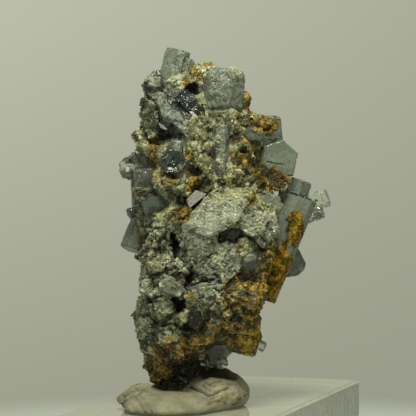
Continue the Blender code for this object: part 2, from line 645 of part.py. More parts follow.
def main():
    """Build the slab, the putty, the matrix and its crystals, and set the specimen on the slab."""
    clear_scene()
    parts = new_collection("aquamarine_specimen")
    helpers = new_collection("helpers")

    rock_finish = material("matrix_rock", ROCK_COLOUR, 0.75)
    aqua_finish = material("aquamarine", AQUA_COLOUR, 0.2, 0.6)
    clear_finish = material("clear_beryl", CLEAR_COLOUR, 0.08, 0.9)
    putty_finish = material("putty", PUTTY_COLOUR, 0.7)
    acrylic_finish = material("acrylic", ACRYLIC_COLOUR, 0.04, 0.95)

    for name, prisms in CRYSTALS.items():
        finish = clear_finish if name in CLEAR_CRYSTALS else aqua_finish
        add_crystal(name, prisms, parts, helpers, finish)
    rock = add_matrix(parts, rock_finish)
    add_putty(parts, helpers, rock, putty_finish)

    foot = bpy.data.objects.new("specimen_foot", None)
    foot.location = (SPECIMEN_PLACE[0] * MM, SPECIMEN_PLACE[1] * MM, SLAB_THICKNESS)
    for obj in bpy.data.objects:
        if obj != foot:
            obj.parent = foot
    parts.objects.link(foot)
    add_slab(parts, acrylic_finish)


main()
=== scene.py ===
"""Looks of an aquamarine specimen: beryl crystals on crumbly matrix, in putty on an acrylic slab.

Lengths are in metres, written as millimetres times MM. A zone of the specimen's front is placed by
the photograph's pixels, which seen_at() works out for any point of the row frame.
"""

import logging
import math
import random
from collections.abc import Iterable
from dataclasses import dataclass, field
from enum import Enum

import bmesh
import bpy
import numpy as np
from bmesh.types import BMesh
from bpy.types import Mesh, NodeSocket, NodeTree, Object
from mathutils import Matrix, Vector, noise
from mathutils.bvhtree import BVHTree
from mathutils.kdtree import KDTree


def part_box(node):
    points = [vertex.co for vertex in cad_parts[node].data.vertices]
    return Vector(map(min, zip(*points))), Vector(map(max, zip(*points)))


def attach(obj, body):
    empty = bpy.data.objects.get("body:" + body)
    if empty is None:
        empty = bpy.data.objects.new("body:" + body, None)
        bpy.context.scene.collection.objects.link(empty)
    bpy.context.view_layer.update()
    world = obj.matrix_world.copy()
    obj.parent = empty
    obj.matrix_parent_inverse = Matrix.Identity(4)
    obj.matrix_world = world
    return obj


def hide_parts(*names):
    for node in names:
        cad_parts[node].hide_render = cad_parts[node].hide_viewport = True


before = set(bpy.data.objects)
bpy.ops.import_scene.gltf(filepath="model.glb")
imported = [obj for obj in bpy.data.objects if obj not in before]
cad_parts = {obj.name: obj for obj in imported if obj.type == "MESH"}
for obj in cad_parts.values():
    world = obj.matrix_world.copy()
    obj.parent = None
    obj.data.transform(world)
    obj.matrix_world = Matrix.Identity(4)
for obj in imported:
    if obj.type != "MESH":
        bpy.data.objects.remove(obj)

LOG = logging.getLogger("specimen")

MM = 0.001
ROOT = "root"

# The photograph: its size in pixels, and the camera that sees the specimen as it does
PHOTO_SIZE = 416
LENS = 135.0
SENSOR = 36.0
PIXEL_FOCUS = LENS / SENSOR * PHOTO_SIZE
CAMERA_PLACE = Vector((-1.7, -292.2, 47.5)) * MM

# Where the front, which the photograph shows, turns into the back
FRONT_AT = -9.0 * MM
BACK_AT = -4.0 * MM

# What counts as flat when a solid's faces are merged, and as sharp when its edges are broken
FLAT_ANGLE = math.radians(1.0)
SHARP_ANGLE = math.radians(12.0)

# How far out a patch reaches and over how much of that it fades, in its half widths
PATCH_REACH = 1.3
PATCH_FADE = 0.5

# How much of a crack's half width each of its walls takes
CRACK_WALL = 0.8

# How far a seed moves the place at which swells and lumps are read
SWELL_STRIDE = (17.3, 5.1, 9.7)
LUMP_STRIDE = (11.3, 3.7, 7.9)

# A lump's mean height, how steep its creases are, and how high and how tilted its top is
LUMP_MEAN = 0.6
CREASE_SLOPE = 3.0
LUMP_TOP = 0.80
LUMP_TILT = 1.1

# How strongly beryl and acrylic bend light
BERYL_IOR = 1.58
ACRYLIC_IOR = 1.49

Colour = tuple[float, float, float]


class Zone(Enum):
    """What covers a stretch of the specimen, or paints shade on it. The value is the mesh attribute of
    its share.
    """

    RUST = "rust"
    CREAM = "cream"
    SILVER = "silver"
    # Dark minerals, and painted shade in recesses, under overhangs and at the root
    DARK = "dark"
    FROST = "frost"
    CRUST = "crust"
    CALM = "calm"


@dataclass(frozen=True)
class Patch:
    """An oval of one zone on the front, in the photograph's pixels, turned clockwise in degrees."""

    px: float
    py: float
    half_width: float
    half_height: float
    turn: float = 0.0
    strength: float = 1.0

    def cover(self, seen: np.ndarray, ragged: np.ndarray | float = 0.0) -> np.ndarray:
        """How far the patch covers each point.

        Args:
            seen: The points' pixels, one row each.
            ragged: What breaks up the patch's edge at each point.

        Returns:
            A share from 0 to the patch's strength for each point.
        """
        angle = math.radians(self.turn)
        across = seen[:, 0] - self.px
        down = seen[:, 1] - self.py
        along = (across * math.cos(angle) + down * math.sin(angle)) / self.half_width
        beside = (down * math.cos(angle) - across * math.sin(angle)) / self.half_height
        return self.strength * smooth(PATCH_REACH - np.hypot(along, beside) - ragged, 0.0, PATCH_FADE)


@dataclass(frozen=True)
class Crack:
    """A crack on the front, sunk and darkened with painted shade: its points and half width in pixels,
    and its depth in millimetres.
    """

    points: tuple[tuple[float, float], ...]
    half_width: float = 1.4
    depth: float = 0.5

    def cover(self, seen: np.ndarray) -> np.ndarray:
        """How far inside the crack each point is.

        Args:
            seen: The points' pixels, one row each.

        Returns:
            A share from 0 at its edge to 1 at its middle for each point.
        """
        nearest = np.full(len(seen), np.inf)
        for start, end in zip(self.points, self.points[1:]):
            first = np.array(start)
            run = np.array(end) - first
            share = np.clip((seen - first) @ run / (run @ run), 0.0, 1.0)
            gap = seen - first - share[:, None] * run
            nearest = np.minimum(nearest, np.hypot(gap[:, 0], gap[:, 1]))
        return smooth(self.half_width - nearest, 0.0, self.half_width * CRACK_WALL)


def patches(*rows: tuple[float, ...]) -> tuple[Patch, ...]:
    """Patches from rows of their fields."""
    return tuple(Patch(*row) for row in rows)


# The front's zones. A row is a patch's middle, half width, half height, turn and strength
ZONES: dict[Zone, tuple[Patch, ...]] = {
    Zone.RUST: patches(
        (199, 77, 3.5, 5, 10, 0.85), (193, 69, 4, 4, 0, 0.55), (208, 64, 8, 2.5, 0, 0.4),
        (187, 84, 4, 8, 0, 0.7), (233, 91, 1.5, 2), (248, 102, 6, 12), (243, 117, 8, 5, 0, 0.6),
        (262, 127, 12, 13, 20, 0.5), (240, 138, 12, 6, -20, 0.75), (242, 157, 12, 9, 30, 0.5),
        (240, 250, 4, 4, 0, 0.7), (250, 148, 10, 8, 0, 0.5), (233, 151, 3, 9, 0, 0.5),
        (248, 128, 6, 4, 0, 0.6), (155, 146, 5, 10), (154, 160, 4.5, 9, 10), (190, 157, 4, 6, -10, 0.8),
        (165, 178, 14, 8, 0, 0.4), (194, 184, 6, 10, 25), (191, 172, 5, 6, 0, 0.8), (183, 214, 8, 8),
        (172, 214, 7, 6, 0, 0.3), (251, 200, 3.4, 8, 35), (272, 178, 18, 11, 20),
        (262, 168, 10, 8, 0, 0.7), (296.5, 228, 9, 22, 3), (277, 272, 18, 30, 20),
        (268, 254, 16, 8, 0, 0.6), (246, 300, 22, 28, 0, 0.47), (256, 325, 10, 26, 0, 0.8),
        (234, 332, 24, 16, 0, 0.55), (242, 282, 15, 7, -20, 0.62), (208, 322, 12, 10, 0, 0.3),
        (200, 345, 22, 10, -10, 0.6), (176, 352, 26, 16, 0, 0.5), (158, 374, 16, 18, 0, 0.75),
        (180, 356, 30, 12, 0, 0.6), (246, 345, 14, 9), (181, 276, 6, 5, 0, 0.3),
        (192, 297, 5, 3, 35, 0.7), (141, 240, 2.5, 14, -12, 0.5), (143, 194, 8, 4, 0, 0.55),
        (274, 127, 5, 8, 0, 0.7),
    ),
    Zone.CREAM: patches(
        (208, 72, 13, 9, 0, 0.9), (236, 71, 9, 5, 0, 0.85), (182, 74, 12, 16, 0, 0.55),
        (152, 82, 8, 6, 0, 0.5), (216, 112, 16, 14, 0, 0.6), (150, 118, 5, 16, 0, 0.3),
        (200, 128, 12, 24, -15, 0.7), (226, 132, 24, 22, 0, 0.6), (262, 117, 14, 8, 0, 0.95),
        (262, 134, 14, 14, 0, 0.8), (206, 158, 18, 20, 0, 0.85), (240, 172, 26, 18, 0, 0.85),
        (230, 190, 26, 12, 0, 0.8), (170, 214, 12, 10, 0, 0.95), (184, 200, 9, 18, 20, 0.5),
        (144, 148, 8, 12, 0, 0.6), (140, 120, 5, 20, 0, 0.2), (270, 205, 14, 8, 0, 0.85),
        (221, 148, 4, 24, 0, 0.6), (256, 224, 16, 14, 0, 0.3), (197, 74, 9, 10, 0, 0.8),
        (152, 80, 7, 5, 0, 0.8), (150, 262, 14, 10, 0, 0.4), (243, 246, 8, 8, 0, 0.85),
        (184, 316, 9, 8, 0, 0.75), (168, 287, 12, 8, 0, 0.15), (272, 152, 8, 4, 0, 0.2),
    ),
    Zone.SILVER: patches(
        (216, 212, 34, 16, -36), (230, 206, 22, 16), (196, 224, 14, 9, -20, 0.8),
        (260, 226, 20, 18, 0, 0.95), (218, 262, 34, 28, 0, 0.42), (168, 288, 16, 9, 0, 0.2),
        (205, 290, 20, 8, 0, 0.4), (145, 283, 9, 14, 0, 0.4), (165, 265, 22, 16, 0, 0.3),
        (184, 316, 8, 7, 0, 0.5),
    ),
    # Dark minerals, and painted shade in recesses, under overhangs and at the root
    Zone.DARK: patches(
        (192, 89, 9, 5, -6), (166, 131, 7, 5, 40), (155, 115, 4, 12, -20, 0.45),
        (146, 112, 6, 20, 0, 0.4), (142, 243, 7, 9, -30, 0.4), (160, 132, 16, 5, 40, 0.6),
        (272, 177, 15, 8, 20, 0.76), (224, 107.5, 17, 2, 0, 0.5), (171, 287, 12, 8, 0, 0.44),
        (213, 350, 10, 9, 20, 0.9), (156, 97, 9, 6, 40, 0.3), (236, 135, 5, 5, 0, 0.6),
        (206, 172, 6, 4, 0, 0.4), (200, 140, 4, 5, 0, 0.35), (231, 144, 12, 10, 0, 0.35),
        (158, 268, 12, 4, 0, 0.3), (154, 153, 5, 13, 0, 0.45), (168, 334, 12, 8, 0, 0.3),
        (143, 193, 9, 4, 0, 0.4), (218, 110, 14, 5, 0, 0.25), (145, 94, 4, 9, 0, 0.7),
        (287.5, 233, 2.4, 12, 0, 0.75), (250, 268, 6, 4, 0, 0.5), (236, 262, 8, 6, 0, 0.45),
        (184, 364, 22, 9, -10, 0.8), (237, 320, 6, 4, 0, 0.75), (226, 170, 6, 5, 0, 0.5),
        (209, 188, 5, 6, 0, 0.4), (182, 100, 26, 8, 36, 0.7), (218, 116, 13, 6, 0, 0.5),
        (132, 159, 6, 3, -40, 0.5), (187, 168, 5, 9, 30, 0.6), (142, 241, 5, 6, -30, 0.7),
        (148, 184, 6, 7, 20, 0.4), (148, 86, 3, 8, -20, 0.7), (160, 140, 5, 5, 30, 0.8),
        (243, 119, 7, 4, 0, 0.75), (242, 150, 5, 4, 0, 0.95), (193, 170, 10, 5, 25, 0.8),
        (182, 200, 6, 5, 0, 0.75), (143, 194, 9, 4, 0, 0.7), (230, 237, 11, 6.5, 8),
        (226, 233, 6, 3.5, -30), (175, 244, 4, 10, -6, 0.9), (191, 232, 5, 3, 0, 0.7),
        (162, 250, 6, 4, -20, 0.7), (190, 280, 4, 8, 30, 0.9), (179, 276, 7, 5, 0, 0.65),
        (258, 251, 8, 4, 0, 0.7), (256, 262, 9, 4, -20, 0.6), (178, 306, 6, 9, -30),
        (150, 300, 9, 3, -15, 0.9), (195, 319, 10, 9), (158, 316, 18, 5, 10, 0.3),
        (146, 320, 4, 18, 10, 0.45), (150, 340, 5, 8, 0, 0.4), (250, 293, 9, 2.5, -15, 0.6),
        (220, 318, 6, 3, 30, 0.65), (192, 372, 20, 10, -20, 0.95), (214, 353, 9, 10, 20, 0.95),
        (166, 386, 22, 6, 0, 0.8), (172, 366, 30, 14, 0, 0.35), (206, 334, 30, 8, 10, 0.3),
        (166, 358, 5, 8, 0, 0.4), (214, 148, 3, 26, 0, 0.35), (218, 170, 8, 6, 0, 0.4),
    ),
    Zone.FROST: patches(
        (178, 72, 9, 24, 12), (152, 80, 8, 7, 0, 0.9), (171, 116, 23, 8, 45, 0.56),
        (134, 187, 3, 15, 0, 0.6), (206, 69, 11, 7, -10, 0.9), (200, 80, 5, 6, 0, 0.6),
        (198, 148, 5, 4, 20, 0.9), (213, 167, 4, 3, 0, 0.9), (250, 256, 8, 6, 0, 0.8),
        (164, 283, 6, 3, -20, 0.6), (147, 281, 4, 4, 0, 0.8), (168, 262, 10, 4, -20, 0.5),
        (213, 206, 6, 4, -30, 0.9), (225, 214, 4, 3, 0, 0.8), (234, 74, 12, 9),
        (216, 80, 12, 10, 0, 0.8), (224, 92, 14, 12, 0, 0.6), (177, 145, 7, 6),
        (136, 162, 13, 8, -20, 0.62), (259, 133, 5, 6, 0, 0.42), (277, 127, 5, 11, 0, 0.5),
        (158, 97, 9, 8, 0, 0.54), (172, 92, 8, 4, 10, 0.7), (225, 359, 5, 6, 0, 0.6),
        (124, 171, 7, 9, 0, 0.75), (126, 169, 3, 3), (140, 181, 5, 14, 0, 0.35),
        (220, 150, 9.5, 26, 0, 0.9), (296, 267, 8, 6, 0, 0.5), (318, 216, 7, 6, 0, 0.5),
        (196, 199, 12, 12, 0, 0.6), (273, 194, 5, 5, 0, 0.9),
    ),
    Zone.CRUST: patches(
        (152, 118, 6, 18, -15, 0.9), (178, 82, 14, 6, 0, 0.8), (237, 71, 9, 4.5, 0, 0.9),
        (209, 74, 6, 7, 0, 0.8), (151, 80, 8, 5, 0, 0.7), (192, 122, 7, 8, 45, 0.7),
        (272, 178, 18, 10, 20), (266, 124, 12, 12, 20), (295, 228, 7.5, 21, 3), (273, 274, 15, 30, 20),
        (146, 108, 6, 16, 0, 0.6), (270, 205, 12, 6), (318, 216, 5, 5, 0, 0.35),
        (127, 172, 7, 8, 0, 0.5), (220, 150, 3.4, 22, 0, 0.85), (176, 169, 12, 4, 0, 0.4),
        (207, 352, 10, 8, 0, 0.8), (244, 257, 4, 3, 0, 0.4), (252, 133, 10, 5, 0, 0.25),
    ),
    Zone.CALM: patches(
        (216, 212, 36, 22, -30), (216, 258, 34, 26, 0, 0.9), (160, 332, 20, 18, 0, 0.8),
        (164, 304, 12, 9, 0, 0.9), (171, 288, 12, 8, 0, 0.9), (193, 302, 10, 6, 35, 0.9),
        (160, 262, 14, 12, 0, 0.4), (262, 226, 18, 12, 0, 0.4), (205, 295, 16, 10, 0, 0.6),
    ),
}

# The back's zones: their swells' size in millimetres, and the noise where each starts and is full
BACK_ZONES: dict[Zone, tuple[float, float, float]] = {
    Zone.RUST: (9.0, 0.02, 0.30),
    Zone.CREAM: (7.0, -0.05, 0.22),
    Zone.SILVER: (8.0, 0.05, 0.30),
    Zone.DARK: (3.2, 0.34, 0.50),
    Zone.FROST: (4.0, 0.0, 0.35),
    Zone.CRUST: (4.5, 0.16, 0.34),
    Zone.CALM: (9.0, 0.0, 0.30),
}
BACK_SEED = 40
BACK_RAGGED = 0.3

# How far a zone's edge strays, in a patch's half widths, with swells of each size
EDGE_SWELLS = ((0.50, 1.5 * MM), (0.34, 0.6 * MM))

# Cracks in the matrix's skin, each sunk and darkened with painted shade
CRACKS: tuple[Crack, ...] = (
    Crack(((212, 190), (197, 206), (184, 220)), 1.5, 0.55),
    Crack(((185, 286), (193, 285), (200, 282), (208, 281), (214, 279)), 1.4, 0.5),
    Crack(((214, 288), (222, 290), (230, 286)), 1.0, 0.35),
    Crack(((193, 264), (191, 270), (190, 276)), 1.1, 0.4),
    Crack(((187, 276), (190, 283), (188, 290)), 1.6, 0.6),
    Crack(((186, 297), (182, 303), (178, 312), (186, 320)), 2.2, 0.9),
    Crack(((146, 303), (154, 299), (162, 296)), 1.6, 0.7),
    Crack(((200, 330), (206, 322), (212, 316)), 1.2, 0.4),
    Crack(((154, 250), (156, 262), (166, 270)), 1.3, 0.5),
    Crack(((240, 234), (252, 240), (262, 250)), 1.6, 0.6),
    Crack(((150, 318), (160, 326), (174, 324), (186, 330)), 1.3, 0.5),
    Crack(((226, 286), (236, 276), (248, 270)), 1.4, 0.5),
    Crack(((172, 232), (176, 244), (175, 256)), 2.2, 0.9),
    Crack(((268, 276), (276, 274), (286, 276)), 1.2, 0.3),
)


def smooth(values: np.ndarray, low: float, high: float) -> np.ndarray:
    """Values eased from 0 at low to 1 at high."""
    share = np.clip((values - low) / (high - low), 0.0, 1.0)
    return share * share * (3.0 - 2.0 * share)


def seen_at(points: np.ndarray) -> np.ndarray:
    """Where points of the row frame show in the photograph.

    Args:
        points: Places in metres, one row each.

    Returns:
        Their pixels, one row each.
    """
    away = points[:, 1] - CAMERA_PLACE.y
    right = (points[:, 0] - CAMERA_PLACE.x) / away
    up = (points[:, 2] - CAMERA_PLACE.z) / away
    return PHOTO_SIZE / 2 + PIXEL_FOCUS * np.stack((right, -up), axis=1)


def on_front(points: np.ndarray) -> np.ndarray:
    """How far each point is on the side that the photograph shows, from 0 to 1."""
    return smooth(-points[:, 1], -BACK_AT, -FRONT_AT)


def covered(ovals: Iterable[Patch], seen: np.ndarray, ragged: np.ndarray | float = 0.0) -> np.ndarray:
    """How far the strongest of several patches covers each point.

    Args:
        ovals: The patches.
        seen: The points' pixels, one row each.
        ragged: What breaks up the patches' edges at each point.

    Returns:
        A share for each point.
    """
    shown = np.zeros(len(seen))
    for patch in ovals:
        shown = np.maximum(shown, patch.cover(seen, ragged))
    return shown


def seed_shift(seed: int, stride: tuple[float, float, float]) -> Vector:
    """How far a seed moves the place at which noise is read."""
    return Vector([seed * step for step in stride])


def soft_noise(points: np.ndarray, size: float, seed: int) -> np.ndarray:
    """Smooth noise with swells of one size.

    Args:
        points: Places in metres, one row each.
        size: How far apart the swells are, in metres.
        seed: What tells this noise from others.

    Returns:
        Values from about -1 to 1.
    """
    shift = seed_shift(seed, SWELL_STRIDE)
    return np.array([noise.noise(Vector(point) / size + shift) for point in points])


def cobbles(points: np.ndarray, size: float, seed: int) -> np.ndarray:
    """Angular lumps, each tilted its own way, with creases between them.

    Args:
        points: Places in metres, one row each.
        size: How wide a lump is, in metres.
        seed: What tells these lumps from others.

    Returns:
        Heights from 0 in a crease to 1 on a lump.
    """
    shift = seed_shift(seed, LUMP_STRIDE)
    heights = np.empty(len(points))
    for index, point in enumerate(points):
        place = Vector(point) / size + shift
        gaps, middles = noise.voronoi(place)
        tilt = (place - middles[0]).dot(noise.noise_vector(middles[0] * 7.1))
        heights[index] = min((gaps[1] - gaps[0]) * CREASE_SLOPE, 1.0) * (LUMP_TOP + LUMP_TILT * tilt)
    return np.clip(heights, 0.0, 1.5)


def lump_tones(points: np.ndarray, size: float, seed: int) -> np.ndarray:
    """The tone of the lump that each point is on.

    Args:
        points: Places in metres, one row each.
        size: How wide a lump is, as given to cobbles().
        seed: The seed given to cobbles().

    Returns:
        Tones from 0 to 1.
    """
    shift = seed_shift(seed, LUMP_STRIDE)
    tones = np.empty(len(points))
    for index, point in enumerate(points):
        middle = noise.voronoi(Vector(point) / size + shift)[1][0]
        tones[index] = noise.cell(middle * 13.7)
    return np.clip(tones * 0.5 + 0.5, 0.0, 1.0)


def coordinates(mesh: Mesh) -> np.ndarray:
    """A mesh's points, one row each."""
    flat = np.empty(len(mesh.vertices) * 3, dtype=np.float32)
    mesh.vertices.foreach_get("co", flat)
    return flat.reshape(-1, 3).astype(float)


def point_normals(mesh: Mesh) -> np.ndarray:
    """A mesh's normals at its points, one row each."""
    flat = np.empty(len(mesh.vertices) * 3, dtype=np.float32)
    mesh.vertex_normals.foreach_get("vector", flat)
    return flat.reshape(-1, 3).astype(float)


def move_points(mesh: Mesh, points: np.ndarray) -> None:
    """Put a mesh's points in new places."""
    mesh.vertices.foreach_set("co", points.astype(np.float32).ravel())
    mesh.update()


def store(mesh: Mesh, name: str, values: np.ndarray) -> None:
    """Keep one number for each point of a mesh under a name that materials and trees can read."""
    layer = mesh.attributes.get(name) or mesh.attributes.new(name, "FLOAT", "POINT")
    layer.data.foreach_set("value", values.astype(np.float32))


def stored(mesh: Mesh, name: str) -> np.ndarray:
    """The numbers kept under a name."""
    values = np.empty(len(mesh.vertices), dtype=np.float32)
    mesh.attributes[name].data.foreach_get("value", values)
    return values.astype(float)


def new_object(name: str, mesh: Mesh) -> Object:
    """An object around a mesh, in the scene."""
    made = bpy.data.objects.new(name, mesh)
    bpy.context.scene.collection.objects.link(made)
    return made


def baked(obj: Object, name: str) -> Mesh:
    """An object's mesh with its modifiers applied.

    Args:
        obj: The object, which is removed.
        name: The mesh's name.

    Returns:
        The mesh.
    """
    graph = bpy.context.evaluated_depsgraph_get()
    mesh = bpy.data.meshes.new_from_object(obj.evaluated_get(graph))
    mesh.name = name
    bpy.data.objects.remove(obj)
    return mesh


def whole_copy(node: str, flat: bool = False) -> BMesh:
    """A CAD node's solid as a mesh whose triangles share their corners.

    Args:
        node: The CAD node's name.
        flat: Whether the triangles of each flat face become one face.

    Returns:
        The mesh.
    """
    solid = bmesh.new()
    solid.from_mesh(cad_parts[node].data)
    bmesh.ops.remove_doubles(solid, verts=solid.verts, dist=0.002 * MM)
    if flat:
        bmesh.ops.dissolve_limit(solid, angle_limit=FLAT_ANGLE, verts=solid.verts, edges=solid.edges)
    return solid


def mesh_of(solid: BMesh, name: str) -> Mesh:
    """A mesh made from a bmesh, which is freed."""
    mesh = bpy.data.meshes.new(name)
    solid.to_mesh(mesh)
    solid.free()
    return mesh


def fused(mesh: Mesh, voxel: float) -> Mesh:
    """A mesh wrapped in one even skin.

    Args:
        mesh: One or more closed meshes.
        voxel: The side of the skin's quads, in metres.

    Returns:
        The skin.
    """
    name = mesh.name
    holder = new_object("fusing", mesh)
    wrap = holder.modifiers.new("Wrap", "REMESH")
    wrap.mode = "VOXEL"
    wrap.voxel_size = voxel
    skin = baked(holder, f"{name}_skin")
    bpy.data.meshes.remove(mesh)
    skin.name = name
    return skin


def evened(mesh: Mesh, points: np.ndarray, rounds: int) -> np.ndarray:
    """Points drawn towards the middle of their neighbours.

    Args:
        mesh: The mesh whose edges say which points are neighbours.
        points: The points, one row each.
        rounds: How often.

    Returns:
        The even points.
    """
    ends = np.empty(len(mesh.edges) * 2, dtype=np.int64)
    mesh.edges.foreach_get("vertices", ends)
    ends = ends.reshape(-1, 2)
    count = np.maximum(np.bincount(ends.ravel(), minlength=len(points)), 1)[:, None]
    even = points.copy()
    for _ in range(rounds):
        total = np.zeros_like(even)
        np.add.at(total, ends[:, 0], even[ends[:, 1]])
        np.add.at(total, ends[:, 1], even[ends[:, 0]])
        even = total / count
    return even


def face_shares(mesh: Mesh, values: np.ndarray) -> np.ndarray:
    """The mean of a mesh's point values over each of its faces.

    Args:
        mesh: The mesh.
        values: A number for each of its points.

    Returns:
        A number for each of its faces.
    """
    corners = np.empty(len(mesh.loops), dtype=np.int64)
    mesh.loops.foreach_get("vertex_index", corners)
    first = np.empty(len(mesh.polygons), dtype=np.int64)
    mesh.polygons.foreach_get("loop_start", first)
    sizes = np.empty(len(mesh.polygons), dtype=np.int64)
    mesh.polygons.foreach_get("loop_total", sizes)
    return np.add.reduceat(values[corners], first) / sizes


def paint(mesh: Mesh, seed: int) -> None:
    """Store the share of every zone at each point of a mesh.

    The front has its patches. The back, which the photograph doesn't show, has zones of the same
    kinds that follow smooth noise.

    Args:
        mesh: The mesh to paint.
        seed: What tells its ragged edges from those of other meshes.
    """
    points = coordinates(mesh)
    seen = seen_at(points)
    front = on_front(points)
    ragged = sum(
        reach * soft_noise(points, size, seed + index) for index, (reach, size) in enumerate(EDGE_SWELLS)
    )
    for index, (zone, ovals) in enumerate(ZONES.items()):
        size, low, high = BACK_ZONES[zone]
        back_noise = soft_noise(points, size * MM, BACK_SEED + index) + BACK_RAGGED * ragged
        hidden = smooth(back_noise, low, high)
        store(mesh, zone.value, front * covered(ovals, seen, ragged) + (1.0 - front) * hidden)


class Tree:
    """A node tree that is being built, with short ways to add and join its nodes."""

    def __init__(self, tree: NodeTree) -> None:
        """Start on an empty tree."""
        self.tree = tree

    def put(self, socket: NodeSocket, value: object) -> None:
        """Give an input a value, or join another node's output to it."""
        if isinstance(value, NodeSocket):
            self.tree.links.new(value, socket)
        else:
            socket.default_value = value

    def add(self, kind: str, **settings: object) -> bpy.types.Node:
        """A new node.

        Args:
            kind: The node's type.
            **settings: Its properties, or under the name "inputs" its inputs' values by name or index.

        Returns:
            The node.
        """
        node = self.tree.nodes.new(kind)
        inputs = settings.pop("inputs", {})
        for name, value in settings.items():
            setattr(node, name, value)
        for key, value in inputs.items():
            self.put(node.inputs[key], value)
        return node

    def math(
        self, operation: str, first: object, second: object = 0.0, third: object = 0.0,
        clamp: bool = False,
    ) -> NodeSocket:
        """The result of a sum on two or three numbers or sockets."""
        inputs = {0: first, 1: second, 2: third}
        return self.add("ShaderNodeMath", operation=operation, use_clamp=clamp, inputs=inputs).outputs[0]

    def mixed(
        self, share: object, first: object, second: object, blend: str = "MIX"
    ) -> NodeSocket:
        """Two colours mixed by a share. Each is a socket, or its red, green and blue."""
        first, second = ((*end, 1.0) if isinstance(end, tuple) else end for end in (first, second))
        inputs = {0: share, 6: first, 7: second}
        return self.add("ShaderNodeMix", data_type="RGBA", blend_type=blend, inputs=inputs).outputs[2]

    def tinged(self, colour: object, share: object, strength: float, other: object) -> NodeSocket:
        """A colour drawn towards another by a share of a strength."""
        return self.mixed(self.math("MULTIPLY", share, strength), colour, other)

    def shaded(self, colour: object, shade: NodeSocket) -> NodeSocket:
        """A colour times a shade."""
        return self.mixed(1.0, colour, shade, "MULTIPLY")

    def attribute(self, name: str) -> NodeSocket:
        """The number that the surface holds under a name."""
        return self.add("ShaderNodeAttribute", attribute_name=name).outputs["Fac"]

    def zone(self, zone: Zone) -> NodeSocket:
        """A zone's share of the surface."""
        return self.attribute(zone.value)

    def place(self) -> NodeSocket:
        """The surface's place."""
        return self.add("ShaderNodeTexCoord").outputs["Object"]

    def swell(self, size: float, detail: float = 2.0, rough: float = 0.5) -> NodeSocket:
        """Noise over the surface, with swells of a size in metres."""
        inputs = {"Vector": self.place(), "Scale": 1.0 / size, "Detail": detail, "Roughness": rough}
        return self.add("ShaderNodeTexNoise", inputs=inputs).outputs[0]

    def drawn(
        self, place: object, scales: tuple[float, float, float], detail: float, rough: float = 0.5
    ) -> NodeSocket:
        """Noise that is drawn out, with a scale of its own in each direction."""
        scaled = self.add("ShaderNodeVectorMath", operation="MULTIPLY", inputs={0: place, 1: scales})
        inputs = {"Vector": scaled.outputs[0], "Scale": 1.0, "Detail": detail, "Roughness": rough}
        return self.add("ShaderNodeTexNoise", inputs=inputs).outputs[0]

    def ranged(
        self, value: object, low: float, high: float, to_low: float = 0.0, to_high: float = 1.0,
        kind: str = "SMOOTHSTEP",
    ) -> NodeSocket:
        """A value eased from one range to another."""
        inputs = {0: value, 1: low, 2: high, 3: to_low, 4: to_high}
        return self.add("ShaderNodeMapRange", interpolation_type=kind, inputs=inputs).outputs[0]


def new_group(
    name: str, inputs: dict[str, float], outputs: dict[str, str]
) -> tuple[NodeTree, Tree]:
    """An empty shader node group.

    Args:
        name: The group's name.
        inputs: Each input's name and starting value.
        outputs: Each output's name and socket type.

    Returns:
        The group and the builder for it.
    """
    group = bpy.data.node_groups.new(name, "ShaderNodeTree")
    for label, value in inputs.items():
        socket = group.interface.new_socket(label, in_out="INPUT", socket_type="NodeSocketFloat")
        socket.default_value = value
    for label, kind in outputs.items():
        group.interface.new_socket(label, in_out="OUTPUT", socket_type=kind)
    return group, Tree(group)


